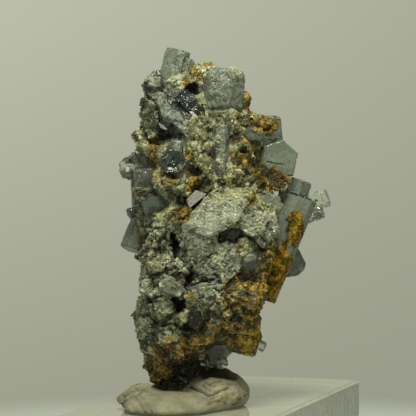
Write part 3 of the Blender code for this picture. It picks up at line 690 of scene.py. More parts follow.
class MineralGroups:
    """The shader node groups that the specimen's materials share."""

    grey: Colour = (0.092, 0.098, 0.056)
    pale: Colour = (0.370, 0.385, 0.245)
    cream: Colour = (0.470, 0.455, 0.215)
    silver: Colour = (0.440, 0.460, 0.350)
    sugar: Colour = (0.620, 0.620, 0.430)
    ochre: Colour = (0.410, 0.275, 0.030)
    rust_bright: Colour = (0.480, 0.220, 0.010)
    rust_dull: Colour = (0.075, 0.060, 0.008)
    black: Colour = (0.010, 0.009, 0.006)

    def __init__(self) -> None:
        """Build each group once."""
        self.colours = self.build_colours()
        self.grit = self.build_grit()
        self.speckle = self.build_speckle()

    def build_colours(self) -> NodeTree:
        """The matrix's colour from its zones, for a tone from 0, dark, to 1, light.

        Returns:
            The group.
        """
        group, tree = new_group("mineral_colours", {"Tone": 0.5}, {"Color": "NodeSocketColor"})
        tone = tree.add("NodeGroupInput").outputs["Tone"]
        colour = tree.mixed(tree.ranged(tone, 0.2, 0.9), self.grey, self.pale)
        colour = tree.mixed(tree.zone(Zone.SILVER), colour, self.silver)
        colour = tree.tinged(colour, tree.zone(Zone.CREAM), 0.85, self.cream)
        drift = tree.ranged(tree.swell(2.2 * MM, 3.0, 0.6), 0.25, 0.65, -0.25, 0.25)
        fine = tree.ranged(tree.swell(0.7 * MM, 3.0, 0.7), 0.3, 0.7, -0.25, 0.25)
        rusty = tree.math("ADD", tree.zone(Zone.RUST), tree.math("ADD", drift, fine))
        stain = tree.mixed(tree.ranged(tone, 0.25, 1.0), self.rust_dull, self.ochre)
        spots = tree.ranged(tree.swell(0.9 * MM, 4.0, 0.7), 0.50, 0.62)
        spots = tree.math("MULTIPLY", spots, tree.ranged(tone, 0.15, 0.7))
        stain = tree.mixed(spots, stain, self.rust_bright)
        colour = tree.tinged(colour, tree.zone(Zone.FROST), 0.75, self.sugar)
        colour = tree.tinged(colour, tree.ranged(rusty, 0.30, 0.62), 0.96, stain)
        colour = tree.shaded(colour, tree.ranged(tone, 0.0, 1.0, 0.34, 1.38))
        # Painted shade and dark minerals: the dark zone turns the colour black
        colour = tree.mixed(tree.zone(Zone.DARK), colour, self.black)
        tree.put(tree.add("NodeGroupOutput").inputs["Color"], colour)
        return group

    def build_grit(self) -> NodeTree:
        """Fine grit: a height and a tone that change over a grain's width.

        Returns:
            The group.
        """
        outputs = {"Height": "NodeSocketFloat", "Tone": "NodeSocketFloat"}
        group, tree = new_group("fine_grit", {"Scale": 2200.0}, outputs)
        inputs = {"Vector": tree.place(), "Scale": tree.add("NodeGroupInput").outputs["Scale"]}
        cell = tree.add("ShaderNodeTexVoronoi", inputs=inputs).outputs
        picked = tree.add("ShaderNodeSeparateColor", inputs={0: cell["Color"]})
        end = tree.add("NodeGroupOutput").inputs
        tree.put(end["Height"], tree.math("ADD", cell["Distance"], tree.swell(0.5 * MM, 4.0, 0.65)))
        tree.put(end["Tone"], picked.outputs[0])
        return group

    def build_speckle(self) -> NodeTree:
        """Scattered specks: which are dark and which bright, for the share of each and their scale.

        Returns:
            The group.
        """
        outputs = {"Dark": "NodeSocketFloat", "Bright": "NodeSocketFloat"}
        settings = {"Scale": 2600.0, "Dark Share": 0.08, "Bright Share": 0.08}
        group, tree = new_group("specks", settings, outputs)
        start = tree.add("NodeGroupInput").outputs
        end = tree.add("NodeGroupOutput").inputs
        place = tree.place()
        shake = tree.add("ShaderNodeTexNoise", inputs={"Vector": place, "Scale": 5200.0, "Detail": 2.0})
        inputs = {0: shake.outputs["Color"], "Scale": 0.18 * MM}
        strayed = tree.add("ShaderNodeVectorMath", operation="SCALE", inputs=inputs)
        inputs = {0: place, 1: strayed.outputs[0]}
        moved = tree.add("ShaderNodeVectorMath", operation="ADD", inputs=inputs)
        inputs = {"Vector": moved.outputs[0], "Scale": start["Scale"]}
        cell = tree.add("ShaderNodeTexVoronoi", inputs=inputs).outputs
        spot = tree.ranged(cell["Distance"], 0.50, 0.30)
        picked = tree.add("ShaderNodeSeparateColor", inputs={0: cell["Color"]}).outputs
        for index, name in enumerate(("Dark", "Bright")):
            chosen = tree.math("LESS_THAN", picked[index], start[f"{name} Share"])
            tree.put(end[name], tree.math("MULTIPLY", chosen, spot))
        return group


class Material:
    """A Principled material under construction."""

    def __init__(self, name: str) -> None:
        """Start with the Principled shader and its output alone."""
        self.result = bpy.data.materials.new(name)
        self.result.use_nodes = True
        self.shader = self.result.node_tree.nodes["Principled BSDF"]
        self.tree = Tree(self.result.node_tree)

    def fill(self, node: bpy.types.Node, values: dict[str, object]) -> None:
        """Give a node's inputs, by names with underscores for spaces, numbers, colours or sockets."""
        for name, value in values.items():
            self.tree.put(node.inputs[name.replace("_", " ")], value)

    def set(self, **values: object) -> None:
        """Fill the shader's inputs."""
        self.fill(self.shader, values)

    def group(self, group: NodeTree, **values: object) -> bpy.types.NodeOutputs:
        """The outputs of a shared group, which is placed in this material with its own values."""
        node = self.tree.add("ShaderNodeGroup", node_tree=group)
        self.fill(node, values)
        return node.outputs

    def streaks(self, width: float, length: float) -> NodeSocket:
        """Noise drawn out along a crystal's growth, with swells of a width and length in metres."""
        place = self.tree.add("ShaderNodeAttribute", attribute_name="grown").outputs["Vector"]
        return self.tree.drawn(place, (1.0 / width, 1.0 / width, 1.0 / length), 3.0, 0.6)

    def bump(self, height: NodeSocket, strength: float, distance: float) -> None:
        """Let a height in the surface's own units turn its normals."""
        inputs = {"Height": height, "Strength": strength, "Distance": distance}
        self.set(Normal=self.tree.add("ShaderNodeBump", inputs=inputs).outputs["Normal"])


@dataclass(frozen=True)
class RockFinish:
    """The matrix's own skin, which shows between the crumbs on it."""

    groups: MineralGroups

    def build(self) -> bpy.types.Material:
        """The material, with grit, specks, and painted shade in its hollows.

        Returns:
            The finished material.
        """
        made = Material("matrix_skin")
        tree = made.tree
        grit = made.group(self.groups.grit, Scale=2300.0)
        lumps = tree.math("MULTIPLY", tree.attribute("lump"), 0.62)
        tone = tree.math("MULTIPLY_ADD", grit["Tone"], 0.38, lumps)
        colour = made.group(self.groups.colours, Tone=tone)["Color"]
        specks = made.group(self.groups.speckle, Scale=2600.0, Dark_Share=0.20, Bright_Share=0.14)
        colour = tree.tinged(colour, specks["Bright"], 0.55, self.groups.cream)
        colour = tree.tinged(colour, specks["Dark"], 0.75, self.groups.black)
        # Painted shade in the hollows
        colour = tree.tinged(colour, tree.attribute("hollow"), 0.88, self.groups.black)
        made.set(Base_Color=colour, Roughness=0.58)
        made.bump(grit["Height"], strength=1.0, distance=0.16 * MM)
        return made.result


class GrainLook(Enum):
    """What a population of grains is made of."""

    CRUMB = "crumb"
    RUST = "rust"
    MICA = "mica"
    SUGAR = "sugar"
    CHIP = "chip"
    SPECK = "speck"


@dataclass(frozen=True)
class GrainFinish:
    """A population of grains, each grain with its own tone."""

    groups: MineralGroups
    name: str
    look: GrainLook

    def build(self) -> bpy.types.Material:
        """The material."""
        made = Material(self.name)
        tree = made.tree
        tone = tree.attribute("tone")
        grit = made.group(self.groups.grit, Scale=3200.0)
        own = tree.math("MULTIPLY_ADD", grit["Tone"], 0.25, tree.math("MULTIPLY", tone, 0.33))
        if self.look is GrainLook.CHIP:
            # Painted sparkles: the chips of the highest tones are light grey
            bright = tree.ranged(tone, 0.84, 1.0)
            colour = tree.mixed(bright, (0.014, 0.018, 0.019), (0.34, 0.37, 0.35))
            made.set(Roughness=0.42, Specular_IOR_Level=0.14)
        elif self.look is GrainLook.SPECK:
            colour = tree.mixed(tone, (0.006, 0.006, 0.005), (0.030, 0.032, 0.026))
            made.set(Roughness=0.30)
        elif self.look is GrainLook.SUGAR:
            colour = tree.mixed(own, (0.10, 0.12, 0.09), (0.74, 0.77, 0.62))
            made.set(Roughness=0.26, Coat_Weight=0.3, Coat_Roughness=0.10)
        else:
            total = tree.math("ADD", own, tree.math("MULTIPLY", tree.attribute("lump"), 0.50))
            colour = made.group(self.groups.colours, Tone=total)["Color"]
            made.set(**self.shine())
        made.set(Base_Color=colour)
        made.bump(grit["Height"], strength=0.35, distance=0.05 * MM)
        return made.result

    def shine(self) -> dict[str, float]:
        """How the grains that have the matrix's colours shine."""
        if self.look is GrainLook.MICA:
            return {"Roughness": 0.34, "Coat_Weight": 0.35, "Coat_Roughness": 0.20}
        if self.look is GrainLook.RUST:
            return {"Roughness": 0.9, "Specular_IOR_Level": 0.08}
        return {"Roughness": 0.42}


class BerylKind(Enum):
    """The looks that the crystals have."""

    AQUA = "aqua"
    DEEP = "deep"
    SMOKY = "smoky"
    SUGARY = "sugary"
    COLOURLESS = "colourless"
    LILAC = "lilac"
    VIOLET_GREY = "violet_grey"


@dataclass(frozen=True)
class BerylFinish:
    """One look of beryl: its colours where clear and where cloudy, and how much light it lets through."""

    groups: MineralGroups
    kind: BerylKind
    clear: Colour
    cloudy: Colour
    transmission: float
    polish: float
    veil: float
    dark_share: float = 0.03
    bright_share: float = 0.06

    def build(self) -> bpy.types.Material:
        """The material: glass with veils, growth lines along the crystal, and specks.

        Returns:
            The finished material.
        """
        made = Material(f"beryl_{self.kind.value}")
        tree = made.tree
        veils = tree.ranged(tree.swell(1.3 * MM, 6.0, 0.68), 0.40, 0.64)
        lines = made.streaks(0.20 * MM, 3.2 * MM)
        cloud = tree.math("MULTIPLY", veils, tree.ranged(lines, 0.35, 0.62, 0.45, 1.0))
        share = tree.math("MULTIPLY", cloud, self.veil, clamp=True)
        colour = tree.mixed(share, self.clear, self.cloudy)
        mottle = tree.swell(0.30 * MM, 4.0, 0.72)
        colour = tree.shaded(colour, tree.ranged(mottle, 0.34, 0.66, 0.72, 1.22))
        shares = {"Dark_Share": self.dark_share, "Bright_Share": self.bright_share}
        specks = made.group(self.groups.speckle, Scale=2900.0, **shares)
        colour = tree.tinged(colour, specks["Bright"], 0.55, (0.62, 0.65, 0.55))
        colour = tree.tinged(colour, specks["Dark"], 0.8, self.groups.black)
        # Painted shade and dark minerals, where the dark zone lies
        colour = tree.tinged(colour, tree.zone(Zone.DARK), 0.85, self.groups.black)
        rough = tree.ranged(share, 0.0, 0.9, self.polish, 0.5)
        made.set(Base_Color=colour, Roughness=rough, IOR=BERYL_IOR, Transmission_Weight=self.transmission)
        height = tree.math("ADD", tree.swell(0.8 * MM, 5.0, 0.62), lines)
        made.bump(height, strength=0.40, distance=0.11 * MM)
        return made.result


@dataclass(frozen=True)
class EtchedFinish:
    """Beryl's etched, sugary faces, which are nearly opaque."""

    groups: MineralGroups
    dark: Colour = (0.110, 0.128, 0.096)
    light: Colour = (0.440, 0.470, 0.365)
    bright: Colour = (0.74, 0.77, 0.66)

    def build(self) -> bpy.types.Material:
        """The material: a fine mottle of dark and light, with bright crystal points.

        Returns:
            The finished material.
        """
        made = Material("beryl_etched")
        tree = made.tree
        lines = tree.math("MULTIPLY", made.streaks(0.30 * MM, 1.2 * MM), 0.3)
        mottle = tree.math("MULTIPLY_ADD", tree.swell(0.34 * MM, 4.0, 0.72), 0.7, lines)
        drift = tree.ranged(tree.swell(1.6 * MM, 3.0, 0.6), 0.35, 0.65, -0.05, 0.05)
        share = tree.ranged(tree.math("ADD", mottle, drift), 0.40, 0.60)
        etched = tree.ranged(tree.zone(Zone.FROST), 0.4, 0.9, 0.35, 1.0)
        colour = tree.mixed(tree.math("MULTIPLY", share, etched), self.dark, self.light)
        specks = made.group(self.groups.speckle, Scale=2500.0, Dark_Share=0.12, Bright_Share=0.20)
        points = tree.math("MULTIPLY", tree.math("MULTIPLY", specks["Bright"], 0.7), etched)
        colour = tree.mixed(points, colour, self.bright)
        colour = tree.tinged(colour, specks["Dark"], 0.7, self.groups.black)
        # Painted shade and dark minerals, where the dark zone lies
        colour = tree.tinged(colour, tree.zone(Zone.DARK), 0.85, self.groups.black)
        made.set(Base_Color=colour, Roughness=0.36, IOR=BERYL_IOR, Transmission_Weight=0.12)
        height = tree.math("ADD", mottle, tree.math("MULTIPLY", specks["Bright"], 0.4))
        made.bump(height, strength=0.85, distance=0.14 * MM)
        return made.result


@dataclass(frozen=True)
class CrustFinish:
    """The rust-brown crust that some crystal faces have."""

    groups: MineralGroups

    def build(self) -> bpy.types.Material:
        """The material, dull and gritty.

        Returns:
            The finished material.
        """
        made = Material("crystal_crust")
        tree = made.tree
        grit = made.group(self.groups.grit, Scale=3000.0)
        drift = tree.ranged(tree.swell(0.9 * MM, 4.0, 0.65), 0.35, 0.65, 0.20, 0.55)
        tone = tree.math("MULTIPLY_ADD", grit["Tone"], 0.30, drift)
        colour = made.group(self.groups.colours, Tone=tone)["Color"]
        made.set(Base_Color=colour, Roughness=0.9, Specular_IOR_Level=0.08)
        made.bump(grit["Height"], strength=0.9, distance=0.12 * MM)
        return made.result


# A look's clear and cloudy colours, transmission, polish, veil, and shares of dark and bright specks
BERYL_LOOKS: dict[BerylKind, tuple] = {
    BerylKind.AQUA: ((0.345, 0.395, 0.315), (0.30, 0.335, 0.26), 0.55, 0.14, 0.75),
    BerylKind.DEEP: ((0.19, 0.235, 0.185), (0.27, 0.30, 0.24), 0.60, 0.10, 0.60),
    BerylKind.SMOKY: ((0.11, 0.14, 0.13), (0.30, 0.33, 0.28), 0.62, 0.06, 0.40, 0.14, 0.12),
    BerylKind.SUGARY: ((0.30, 0.345, 0.28), (0.46, 0.49, 0.38), 0.42, 0.24, 0.85, 0.06, 0.12),
    BerylKind.COLOURLESS: ((0.98, 0.99, 0.86), (0.74, 0.76, 0.59), 0.92, 0.04, 0.30, 0.02, 0.06),
    BerylKind.LILAC: ((0.36, 0.345, 0.33), (0.40, 0.38, 0.365), 0.10, 0.30, 0.30, 0.01, 0.02),
    BerylKind.VIOLET_GREY: ((0.20, 0.195, 0.165), (0.36, 0.345, 0.31), 0.45, 0.14, 0.70, 0.05, 0.04),
}


def beryl_finishes(groups: MineralGroups) -> dict[BerylKind, bpy.types.Material]:
    """Every look of beryl, as a material."""
    return {kind: BerylFinish(groups, kind, *look).build() for kind, look in BERYL_LOOKS.items()}


def pixel_way(px: float, py: float) -> Vector:
    """The way from the camera through a pixel of the photograph, with one metre of it along Y."""
    return Vector(((px - PHOTO_SIZE / 2) / PIXEL_FOCUS, 1.0, (PHOTO_SIZE / 2 - py) / PIXEL_FOCUS))


def pixel_place(px: float, py: float, y: float) -> Vector:
    """The place at one Y of the row frame that shows at a pixel of the photograph."""
    return CAMERA_PLACE + pixel_way(px, py) * (y - CAMERA_PLACE.y)


def divided(solid: BMesh, longest: float) -> None:
    """Cut a mesh's long edges in half until none is left.

    Args:
        solid: The mesh.
        longest: How long an edge may be, in metres.
    """
    bmesh.ops.triangulate(solid, faces=solid.faces)
    for _ in range(7):
        long_edges = [edge for edge in solid.edges if edge.calc_length() > longest]
        if not long_edges:
            return
        bmesh.ops.subdivide_edges(solid, edges=long_edges, cuts=1)
        bmesh.ops.triangulate(solid, faces=[face for face in solid.faces if len(face.verts) > 3])


def sharp_edges(solid: BMesh) -> list[bmesh.types.BMEdge]:
    """A mesh's edges where two faces meet at more than a slight angle."""
    return [edge for edge in solid.edges if edge.calc_face_angle(0.0) > SHARP_ANGLE]


def broken_edges(solid: BMesh, width: float) -> None:
    """Bevel a mesh's sharp edges."""
    bmesh.ops.bevel(
        solid, geom=sharp_edges(solid), offset=width, segments=2, affect="EDGES", profile=0.6,
        clamp_overlap=True,
    )


def add_plate(solid: BMesh, front: list[Vector], back: list[Vector]) -> None:
    """Add a closed plate to a mesh.

    Args:
        solid: The mesh.
        front: The corners of the plate's front.
        back: The corners of its back, in the same order.
    """
    near, far = ([solid.verts.new(corner) for corner in corners] for corners in (front, back))
    solid.faces.new(near)
    solid.faces.new(list(reversed(far)))
    for index in range(len(near)):
        after = (index + 1) % len(near)
        solid.faces.new((near[after], near[index], far[index], far[after]))


def between(start: Vector, end: Vector) -> Matrix:
    """The place and turn of a rod, built upright about the origin, that joins two places."""
    turn = (end - start).to_track_quat("Z", "Y").to_matrix().to_4x4()
    return Matrix.Translation((start + end) / 2) @ turn


@dataclass(frozen=True)
class Block:
    """An angular block in the matrix, traced in the photograph's pixels and set at a depth.

    The depth is the row frame's Y of its middle, and lean is how fast Y grows with X and with Z.
    rough is how high its surface rises, and bare is how free it is of crumbs. Lengths are in
    millimetres.
    """

    outline: tuple[tuple[float, float], ...]
    depth: float
    lean: tuple[float, float] = (0.0, 0.0)
    thickness: float = 1.6
    rough: float = 0.10
    bare: float = 0.6

    def face(self) -> list[Vector]:
        """Its front face, where the pixels' rays meet the leaning plane.

        Returns:
            The corners.
        """
        ways = [pixel_way(px, py) for px, py in self.outline]
        middle = sum(ways, Vector()) / len(ways)
        middle_place = CAMERA_PLACE + middle * (self.depth * MM - CAMERA_PLACE.y)
        lean_x, lean_z = self.lean
        corners = []
        for way in ways:
            gap = middle_place.y - CAMERA_PLACE.y
            gap += lean_x * (CAMERA_PLACE.x - middle_place.x) + lean_z * (CAMERA_PLACE.z - middle_place.z)
            corners.append(CAMERA_PLACE + way * (gap / (1.0 - lean_x * way.x - lean_z * way.z)))
        return corners

    def build(self, seed: int) -> Mesh:
        """The block, with broken edges and a rough surface.

        Args:
            seed: What tells its surface from other blocks'.

        Returns:
            Its mesh.
        """
        corners = self.face()
        middle = sum(corners, Vector()) / len(corners)
        inward = Vector((-self.lean[0], 1.0, -self.lean[1])).normalized() * self.thickness * MM
        solid = bmesh.new()
        add_plate(solid, corners, [middle + (corner - middle) * 0.86 + inward for corner in corners])
        bmesh.ops.recalc_face_normals(solid, faces=solid.faces)
        broken_edges(solid, 0.12 * MM)
        divided(solid, 0.36 * MM)
        mesh = mesh_of(solid, "block")
        points = coordinates(mesh)
        height = soft_noise(points, 1.1 * MM, seed) + 0.7 * (cobbles(points, 0.6 * MM, seed) - LUMP_MEAN)
        height += 0.35 * soft_noise(points, 0.35 * MM, seed + 9)
        tones = 0.45 + 0.35 * soft_noise(points, 1.3 * MM, seed + 5)
        tones += 0.25 * lump_tones(points, 0.6 * MM, seed)
        store(mesh, "lump", np.clip(tones, 0.0, 1.0))
        move_points(mesh, points + point_normals(mesh) * (height * self.rough * MM)[:, None])
        store(mesh, "hollow", np.clip(-height * 0.7, 0.0, 1.0))
        store(mesh, "open", np.full(len(points), 1.0 - self.bare))
        return mesh


@dataclass(frozen=True)
class Habit:
    """How a crystal grew and wore. Lengths are in millimetres.

    chips is how deep its edges are nicked, worn is how often it is evened, grown is how far its faces
    stand past the plain solid, sunk_steps is how many steps its end is sunk in, crusted is how much
    of the crust around it also lies on it, and added are the stretches that the plain solid leaves out.
    """

    kind: BerylKind = BerylKind.AQUA
    edge_break: float = 0.08
    lumps: float = 0.03
    terraces: float = 0.04
    striae: float = 0.016
    longest_edge: float = 0.55
    chips: float = 0.12
    worn: int = 0
    grown: float = 0.0
    sunk_steps: int = 0
    crusted: float = 1.0
    added: tuple[Block, ...] = ()


TIP_BODY = Block(
    ((119, 164), (123, 158), (129, 155.5), (137, 154.5), (146, 156), (152, 162), (151, 170),
     (141, 172), (133, 171), (129, 179), (122, 177), (118.5, 170)),
    -16.0, (0.0, 0.1), 3.2, 0.35,
)
SHOULDER_BODY = Block(
    ((142.5, 81), (146, 76), (152, 72), (158, 68), (162, 72), (164, 82), (160, 92), (148, 95), (143, 90)),
    -15.2, (-0.1, 0.3), 3.6, 0.40,
)
GLASSY_PLATES = (
    Block(((166, 87), (178, 89), (190, 93), (200, 102), (197, 108), (187, 103), (176, 98), (167, 94)),
          -16.9, (0.1, 0.16), 2.4, 0.12),
    Block(((176, 97), (188, 102), (199, 108), (204, 117), (203, 132), (198, 127), (191, 114),
           (182, 106)), -19.0, (0.3, 0.22), 2.6, 0.16),
    Block(((149, 93), (160, 90), (170, 95), (178, 103), (169, 105), (160, 100), (151, 99)),
          -18.6, (0.1, 0.2), 2.4, 0.14),
    Block(((153, 98), (161, 101), (170, 106), (179, 111), (186, 119), (189, 130), (187, 138),
           (180, 131), (172, 123), (162, 113)), -20.7, (0.1, 0.2), 2.8, 0.10),
    Block(((185, 121), (191, 116), (199, 128), (203, 135), (197, 134), (190, 130)),
          -20.4, (0.1, 0.4), 2.0, 0.12),
)
LOWER_BODY = Block(
    ((287, 250), (297, 246), (303, 256), (306.5, 264), (304, 271), (296, 276.5), (286, 278), (282, 265)),
    -10.8, (0.1, 0.0), 4.0, 0.12,
)

# Each crystal's kind, edge_break, lumps, terraces, striae and longest_edge, and the rest by name
HABITS: dict[str, Habit] = {
    "crown_crystal": Habit(BerylKind.SUGARY, 0.10, 0.09, 0.07, 0.02, 0.36, chips=0.35, grown=0.15),
    "upper_right_crystal": Habit(BerylKind.SUGARY, 0.55, 0.13, 0.08, 0.0, 0.34, worn=10, grown=0.45),
    "shoulder_crystal": Habit(BerylKind.SMOKY, 0.20, 0.25, 0.06, 0.01, 0.36, added=(SHOULDER_BODY,)),
    "glassy_crystal": Habit(
        BerylKind.SMOKY, 0.10, 0.16, 0.12, 0.05, 0.32, chips=0.3, added=GLASSY_PLATES
    ),
    "dark_hexagon_crystal": Habit(BerylKind.SMOKY, 0.07, 0.02, 0.02, 0.01, 0.30, sunk_steps=3),
    "left_block_crystal": Habit(
        BerylKind.VIOLET_GREY, 0.14, 0.10, 0.08, 0.02, 0.36, chips=0.25, grown=0.15
    ),
    "left_middle_crystal": Habit(BerylKind.DEEP, 0.08, 0.03, 0.04, 0.01, 0.40, grown=0.2),
    "left_lower_crystal": Habit(BerylKind.DEEP, 0.06, 0.02, 0.03, 0.01, 0.40),
    "left_edge_crystal": Habit(BerylKind.DEEP, 0.08, 0.05, 0.04, 0.02, 0.45, grown=0.3),
    "left_small_crystal": Habit(BerylKind.SMOKY, 0.06, 0.08, 0.05, 0.02, 0.40, chips=0.25),
    "left_spur_crystal": Habit(BerylKind.COLOURLESS, 0.06, 0.03, 0.03, 0.01, 0.30),
    "left_tip_crystal": Habit(BerylKind.SMOKY, 0.10, 0.12, 0.05, 0.01, 0.30, added=(TIP_BODY,)),
    "column_crystal": Habit(BerylKind.DEEP, 0.08, 0.10, 0.06, 0.04, 0.34, chips=0.25, grown=0.3),
    "lens_crystal": Habit(BerylKind.DEEP, 0.06, 0.04, 0.04, 0.03, 0.34, grown=0.35),
    "pit_crystal": Habit(BerylKind.SMOKY, 0.05, 0.16, 0.10, 0.05, 0.30, chips=0.45, grown=0.5),
    "dark_low_crystal": Habit(BerylKind.SMOKY, 0.04, 0.10, 0.10, 0.03, 0.32, chips=0.35, grown=0.2),
    "right_dark_crystal": Habit(BerylKind.DEEP, 0.06, 0.02, 0.02, 0.01, 0.40, grown=0.2),
    "right_hexagon_crystal": Habit(BerylKind.AQUA, 0.07, 0.02, 0.03, 0.012, 0.45, grown=0.3),
    "right_upper_crystal": Habit(BerylKind.DEEP, 0.07, 0.02, 0.03, 0.012, 0.45, grown=0.25),
    "right_large_crystal": Habit(BerylKind.AQUA, 0.07, 0.02, 0.03, 0.014, 0.62, grown=0.25),
    "right_lower_crystal": Habit(
        BerylKind.DEEP, 0.07, 0.03, 0.03, 0.014, 0.45, grown=0.2, crusted=0.1, added=(LOWER_BODY,)
    ),
    "right_inner_crystal": Habit(BerylKind.AQUA, 0.07, 0.02, 0.03, 0.010, 0.45),
    "clear_twin_crystal": Habit(
        BerylKind.COLOURLESS, 0.07, 0.03, 0.04, 0.010, 0.38, grown=0.2, crusted=0.4
    ),
    "root_clear_crystal": Habit(
        BerylKind.COLOURLESS, 0.07, 0.03, 0.05, 0.010, 0.40, grown=0.15, crusted=0.3
    ),
    "spur_crystal": Habit(BerylKind.COLOURLESS, 0.07, 0.03, 0.04, 0.010, 0.40),
    "back_top_crystal": Habit(BerylKind.SUGARY, 0.12, 0.08, 0.05, 0.02, 0.55),
}


@dataclass
class Crystals:
    """The beryl crystals, each a CAD prism with broken edges and etched faces."""

    terrace_size: float = 1.5 * MM
    stria_size: float = 0.22 * MM
    lump_size: float = 0.9 * MM
    cobble_size: float = 1.5 * MM
    step_width: float = 0.42 * MM
    step_depth: float = 0.34 * MM
    chip_size: float = 0.7 * MM
    chip_reach: float = 0.42 * MM
    edge_sample: float = 0.15 * MM
    joined_voxel: float = 0.21 * MM
    worn_voxel: float = 0.30 * MM
    etched_from: float = 0.45
    ragged_size: float = 0.55 * MM
    shortest_run: float = 0.5 * MM
    level: float = 0.999
    rim_width: float = 0.03 * MM
    meshes: dict[str, Mesh] = field(default_factory=dict)

    def names(self) -> list[str]:
        """The CAD nodes that are crystals, but for the one that a flat face in the matrix stands for."""
        crystals = {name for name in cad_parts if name.endswith("_crystal")}
        return sorted(crystals - {"lilac_crystal"})

    def axis(self, solid: BMesh) -> Vector:
        """The way a prism points.

        Args:
            solid: The prism.

        Returns:
            The direction that most of its edges' length runs along.
        """
        best = Vector((0.0, 0.0, 1.0))
        longest = 0.0
        runs = [edge.verts[1].co - edge.verts[0].co for edge in solid.edges]
        for run in runs:
            if run.length < self.shortest_run:
                continue
            way = run.normalized()
            total = sum(other.length for other in runs if abs(other.dot(way)) > self.level * other.length)
            if total > longest:
                best, longest = way, total
        return best

    def sink(self, solid: BMesh, steps: int) -> None:
        """Sink the largest face that looks towards the camera, as a skeletal crystal's end is.

        Args:
            solid: The crystal.
            steps: How many steps lead down to the middle of the face.
        """
        facing = [face for face in solid.faces if face.normal.y < -0.5]
        if not facing or not steps:
            return
        face = max(facing, key=lambda one: one.calc_area())
        for _ in range(steps):
            bmesh.ops.inset_region(solid, faces=[face], thickness=self.step_width, use_even_offset=True)
            for vert in face.verts:
                vert.co -= face.normal * self.step_depth
            bmesh.ops.inset_region(solid, faces=[face], thickness=self.rim_width, use_even_offset=True)

    def edge_tree(self, solid: BMesh) -> KDTree:
        """A tree that finds how near a place is to a sharp edge.

        Args:
            solid: The mesh that has the edges.

        Returns:
            The tree.
        """
        places = []
        for edge in sharp_edges(solid):
            start, end = (vert.co for vert in edge.verts)
            count = max(int((end - start).length / self.edge_sample), 1)
            places.extend(start.lerp(end, step / count) for step in range(count + 1))
        tree = KDTree(len(places))
        for index, place in enumerate(places):
            tree.insert(place, index)
        tree.balance()
        return tree

    def faceted(self, name: str, habit: Habit) -> tuple[Mesh, Vector, KDTree]:
        """A crystal before its faces are etched.

        Args:
            name: The CAD node's name.
            habit: How it grew and wore.

        Returns:
            Its mesh with broken edges, the way that it points, and its edges.
        """
        solid = whole_copy(name, flat=True)
        way = self.axis(solid)
        self.sink(solid, habit.sunk_steps)
        solid.normal_update()
        shifts = [vert.normal * vert.calc_shell_factor() * habit.grown * MM for vert in solid.verts]
        for vert, shift in zip(solid.verts, shifts):
            vert.co += shift
        edges = self.edge_tree(solid)
        broken_edges(solid, habit.edge_break * MM)
        divided(solid, habit.longest_edge * MM)
        for block in habit.added:
            solid.from_mesh(block.build(len(name)))
        mesh = mesh_of(solid, name)
        if habit.added:
            mesh = fused(mesh, self.joined_voxel)
        if habit.worn:
            mesh = fused(mesh, self.worn_voxel)
            move_points(mesh, evened(mesh, coordinates(mesh), habit.worn))
        return mesh, way, edges

    def etch(self, mesh: Mesh, way: Vector, edges: KDTree, habit: Habit, seed: int) -> None:
        """Give side faces their lengthwise striae, all faces low terraces and lumps, and nick the edges.

        Args:
            mesh: The crystal's mesh.
            way: The way that it points.
            edges: What finds its sharp edges.
            habit: How it grew and wore.
            seed: What tells its faces from other crystals'.
        """
        points = coordinates(mesh)
        normals = point_normals(mesh)
        along = np.array(way)
        across = np.cross(normals, along)
        side = smooth(1.0 - np.abs(normals @ along), 0.3, 0.8)
        place = np.sum(points * across, axis=1) / self.stria_size
        lines = np.array([noise.noise(Vector((value, seed, 0.0))) for value in place])
        steps = np.round(soft_noise(points, self.terrace_size, seed) * 3.0) / 3.0
        height = -np.abs(habit.terraces * steps) + habit.striae * side * (lines - 0.6)
        height += habit.lumps * (soft_noise(points, self.lump_size, seed + 50) - 0.4)
        if habit.worn:
            height += habit.lumps * (cobbles(points, self.cobble_size, seed) - LUMP_MEAN)
        gaps = np.array([edges.find(Vector(point))[2] for point in points])
        nicks = smooth(soft_noise(points, self.chip_size, seed + 70), 0.12, 0.42)
        height -= habit.chips * nicks * smooth(self.chip_reach - gaps, 0.0, self.chip_reach)
        move_points(mesh, points + normals * (height * MM)[:, None])

    def mark_growth(self, mesh: Mesh, way: Vector) -> None:
        """Store each point's place in the crystal's own directions, the last along its length."""
        first = way.orthogonal().normalized()
        turned = np.stack((np.array(first), np.array(way.cross(first)), np.array(way)), axis=1)
        layer = mesh.attributes.new("grown", "FLOAT_VECTOR", "POINT")
        layer.data.foreach_set("vector", (coordinates(mesh) @ turned).astype(np.float32).ravel())

    def build(self) -> None:
        """Make every crystal's mesh and paint its zones."""
        for seed, name in enumerate(self.names()):
            habit = HABITS.get(name, Habit())
            mesh, way, edges = self.faceted(name, habit)
            self.etch(mesh, way, edges, habit, seed)
            paint(mesh, 3)
            tones = 0.5 + 0.6 * soft_noise(coordinates(mesh), 1.2 * MM, 12)
            store(mesh, "lump", np.clip(tones, 0.0, 1.0))
            store(mesh, Zone.CRUST.value, stored(mesh, Zone.CRUST.value) * habit.crusted)
            self.mark_growth(mesh, way)
            self.meshes[name] = mesh

